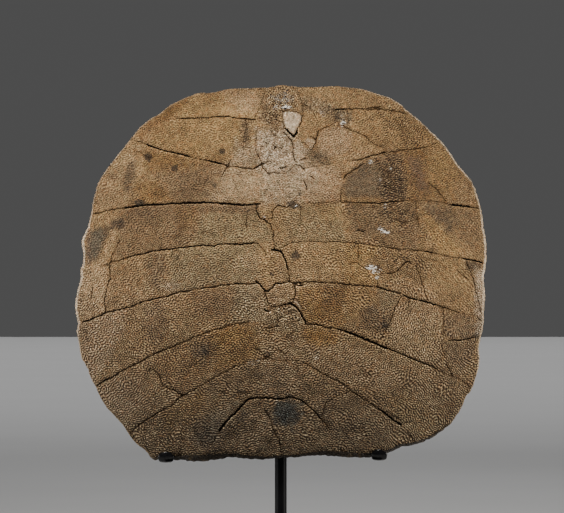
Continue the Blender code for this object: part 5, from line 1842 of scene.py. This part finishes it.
def layered(tree, colour, layers, noises, strengths):
    """A colour with the layers' tints over it, one after another."""
    for noise, low, high, most, strength, tint in layers:
        share = tree.ramp(noises[noise], low, high, 0.0, most)
        if strength:
            share = tree.product(share, strengths[strength])
        colour = tree.tint(colour, share, tint)
    return colour


def bone_material(bone):
    tree = Tree("fossil_bone")
    place = tree.place()
    noises = {name: tree.noise(place, *values) for name, values in BONE_NOISES.items()}
    streak_place = tree.vector("MULTIPLY", place, STREAK_STRETCH, 0)
    streak = tree.noise(streak_place, *STREAK_NOISE)
    dark, white, inner = tree.split("marks")
    gain, bias, coarse = tree.split("pitting")
    busy = tree.ramp(gain, 0.2, 1.6, 0.45, 1.35)
    strengths = {
        "calm": tree.ramp(gain, 0.3, 1.8, 0.85, 0.50),
        "coarse": coarse,
        "dark_speck": tree.line(busy, 0.44, tree.product(coarse, 0.60)),
        "light_speck": tree.line(busy, 0.52, tree.product(coarse, 0.90)),
    }
    pits = tree.product(bone_pits(tree, bone), tree.ramp(noises["uneven"], 0.30, 0.70, 0.45, 1.50))
    biased = tree.math("SUBTRACT", pits, bias)
    hollow = tree.ramp(biased, *HOLLOW_RANGE)
    crest = tree.ramp(biased, *CREST_RANGE)
    soft_gain = tree.math("MINIMUM", gain, MOST_TINT_GAIN)

    colour = layered(tree, tree.attribute("pigment", "Color"), UNDER_LAYERS, noises, strengths)
    colour = tree.mix(tree.product(inner, INNER_TINT_SHARE), colour, PIGMENTS["inner"])
    # Painted shade in the hollows of the pitting, and painted highlight on its crests
    colour = tree.tint(colour, tree.product(hollow, soft_gain, HOLLOW_SHADE_SHARE), PIT_SHADE_AND_DARK_TINT)
    colour = tree.tint(colour, tree.product(crest, soft_gain, CREST_HIGHLIGHT_SHARE), CREST_HIGHLIGHT_AND_LIGHT_TINT)
    colour = layered(tree, colour, OVER_LAYERS, noises, strengths)
    ragged_dark = tree.ramp(tree.line(noises["blotch"], 0.7, dark), 0.42, 1.10)
    colour = tree.tint(colour, tree.product(ragged_dark, tree.ramp(dark, 0.0, 0.8)), STAIN_TINT)
    shadow = tree.product(tree.ramp(streak, 0.46, 0.38), tree.ramp(white, 0.10, 0.40))
    whitening = tree.product(tree.ramp(streak, 0.46, 0.56), tree.ramp(white, 0.05, 0.70))
    colour = tree.mix(whitening, tree.tint(colour, shadow, FLECK_TINT), WHITE_PATCH_COLOUR)
    line, halo, lip, strength = crack_and_shadow_marks(tree, noises)
    colour = tree.tint(colour, halo, PIT_SHADE_AND_DARK_TINT)
    # Painted highlight on the lower lip of each crack
    colour = tree.tint(colour, lip, LIP_HIGHLIGHT)
    # Dark brown to black lines; on the lines beside the chips this is painted shadow
    crack_colour = tree.mix(tree.ramp(strength, 0.45, 0.85), CRACK_BROWN, CRACK_BLACK)

    height = tree.product(tree.ramp(pits, -1.4, 1.4), gain)
    for name, share in BUMP_SHARES:
        height = tree.line(noises[name], share, height)
    height = tree.line(line, CRACK_BUMP, height)
    return tree.finish(
        Base_Color=tree.mix(line, colour, crack_colour),
        Roughness=tree.line(hollow, 0.12, tree.line(noises["patchy"], 0.25, 0.52)),
        Specular_IOR_Level=tree.line(line, -0.30, 0.32),
        Normal=tree.bump(height, BONE_BUMP),
    )


def steel_material(name, roughness, specular):
    """Black coated steel with faint clouds and a fine peel."""
    tree = Tree(name)
    place = tree.place()
    cloud = tree.noise(place, *CLOUD_NOISE)
    return tree.finish(
        Base_Color=tree.mix(cloud, *STEEL_TONES),
        Roughness=tree.line(cloud, STEEL_CLOUDING, roughness),
        Specular_IOR_Level=specular,
        Normal=tree.bump(tree.noise(place, *PEEL_NOISE), STEEL_BUMP),
    )


def felt_material():
    tree = Tree("black_felt")
    fibre = tree.noise(tree.place(), *FIBRE_NOISE)
    return tree.finish(
        Base_Color=tree.mix(fibre, *FELT_TONES),
        Roughness=0.95,
        Specular_IOR_Level=0.2,
        Sheen_Weight=0.3,
        Normal=tree.bump(fibre, FELT_BUMP),
    )


# Studio

MIDDLE = (0.0, 0.0, CAMERA_Z)
FLANKS = (0.0, 0.0, 0.26)

# Lights: name, place, what each is turned to, size, power, colour, and spread in degrees
LIGHTS = (
    ("key", (-0.12, -0.62, 1.02), (0.0, 0.0, 0.40), (0.40, 0.24), 2.9, (1.0, 0.96, 0.90), 85),
    ("left_strip", (-1.00, -0.16, 0.28), FLANKS, (0.25, 0.6), 5.8, WHITE, 180),
    ("right_strip", (1.00, -0.16, 0.30), FLANKS, (0.25, 0.6), 7.0, (1.0, 0.97, 0.91), 180),
    ("back", (0.3, 1.6, 1.4), MIDDLE, (1.2, 0.8), 5.0, WHITE, 180),
    ("floor_light", (0.0, 8.0, 4.0), (0.0, 8.0, 0.0), (16.0, 12.0), 330.0, WHITE, 110),
)


def make_floor():
    corners = [(FLOOR_REACH * x, FLOOR_REACH * y, 0) for x, y in ((-1, -1), (1, -1), (1, 1), (-1, 1))]
    mesh = bpy.data.meshes.new("floor")
    mesh.from_pydata(corners, [], [(0, 1, 2, 3)])
    tree = Tree("pale_floor")
    tone = tree.noise(tree.place(), *FLOOR_NOISE)
    mesh.materials.append(tree.finish(Base_Color=tree.mix(tone, *FLOOR_TONES), Roughness=0.9))
    floor = link("floor", mesh)


def add_light(name, place, target, size, power, colour, spread):
    data = bpy.data.lights.new(name, "AREA")
    data.shape = "RECTANGLE"
    data.size, data.size_y = size
    data.energy = power
    data.color = colour
    data.spread = math.radians(spread)
    light = link(name, data)
    light.location = place
    light.rotation_euler = (Vector(target) - Vector(place)).to_track_quat("-Z", "Y").to_euler()


def make_lights():
    for light in LIGHTS:
        add_light(*light)
    world = bpy.data.worlds.new("studio")
    world.use_nodes = True
    background = world.node_tree.nodes["Background"]
    background.inputs["Color"].default_value = WORLD_GREY
    background.inputs["Strength"].default_value = WORLD_STRENGTH
    bpy.context.scene.world = world


def make_camera():
    data = bpy.data.cameras.new("camera")
    data.sensor_width = SENSOR_WIDTH
    data.lens = SENSOR_WIDTH * CAMERA_DISTANCE / (PHOTO_WIDTH * PX)
    data.clip_end = CLIP_END
    camera = link("camera", data)
    camera.location = (CAMERA_X, -CAMERA_DISTANCE, CAMERA_Z)
    camera.rotation_euler = (math.pi / 2, 0.0, 0.0)
    bpy.context.scene.camera = camera


def finish_node(nodes, name, material):
    obj = nodes[name]
    obj.data.materials.clear()
    obj.data.materials.append(material)


def main():
    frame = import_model()
    make_camera()
    make_lights()
    make_floor()

    carapace, bone = make_carapace()
    carapace.data.materials.append(bone_material(bone))
    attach(carapace, "root")
    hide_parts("carapace")

    steel = steel_material("black_steel", *PLAIN_STEEL)
    glossy_steel = steel_material("black_steel_claws", *GLOSSY_STEEL)
    felt = felt_material()
    for name, node, *shape in CLAWS:
        claw = make_claw(name, *shape)
        claw.data.materials.append(glossy_steel)
        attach(claw, "root")
        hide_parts(node)
    for name in ("base_plate", "post_collar", "post", "lower_crossbar", "upper_crossbar"):
        finish_node(frame["nodes"], name, steel)
    for name in ("left_pad", "right_pad"):
        finish_node(frame["nodes"], name, felt)


main()
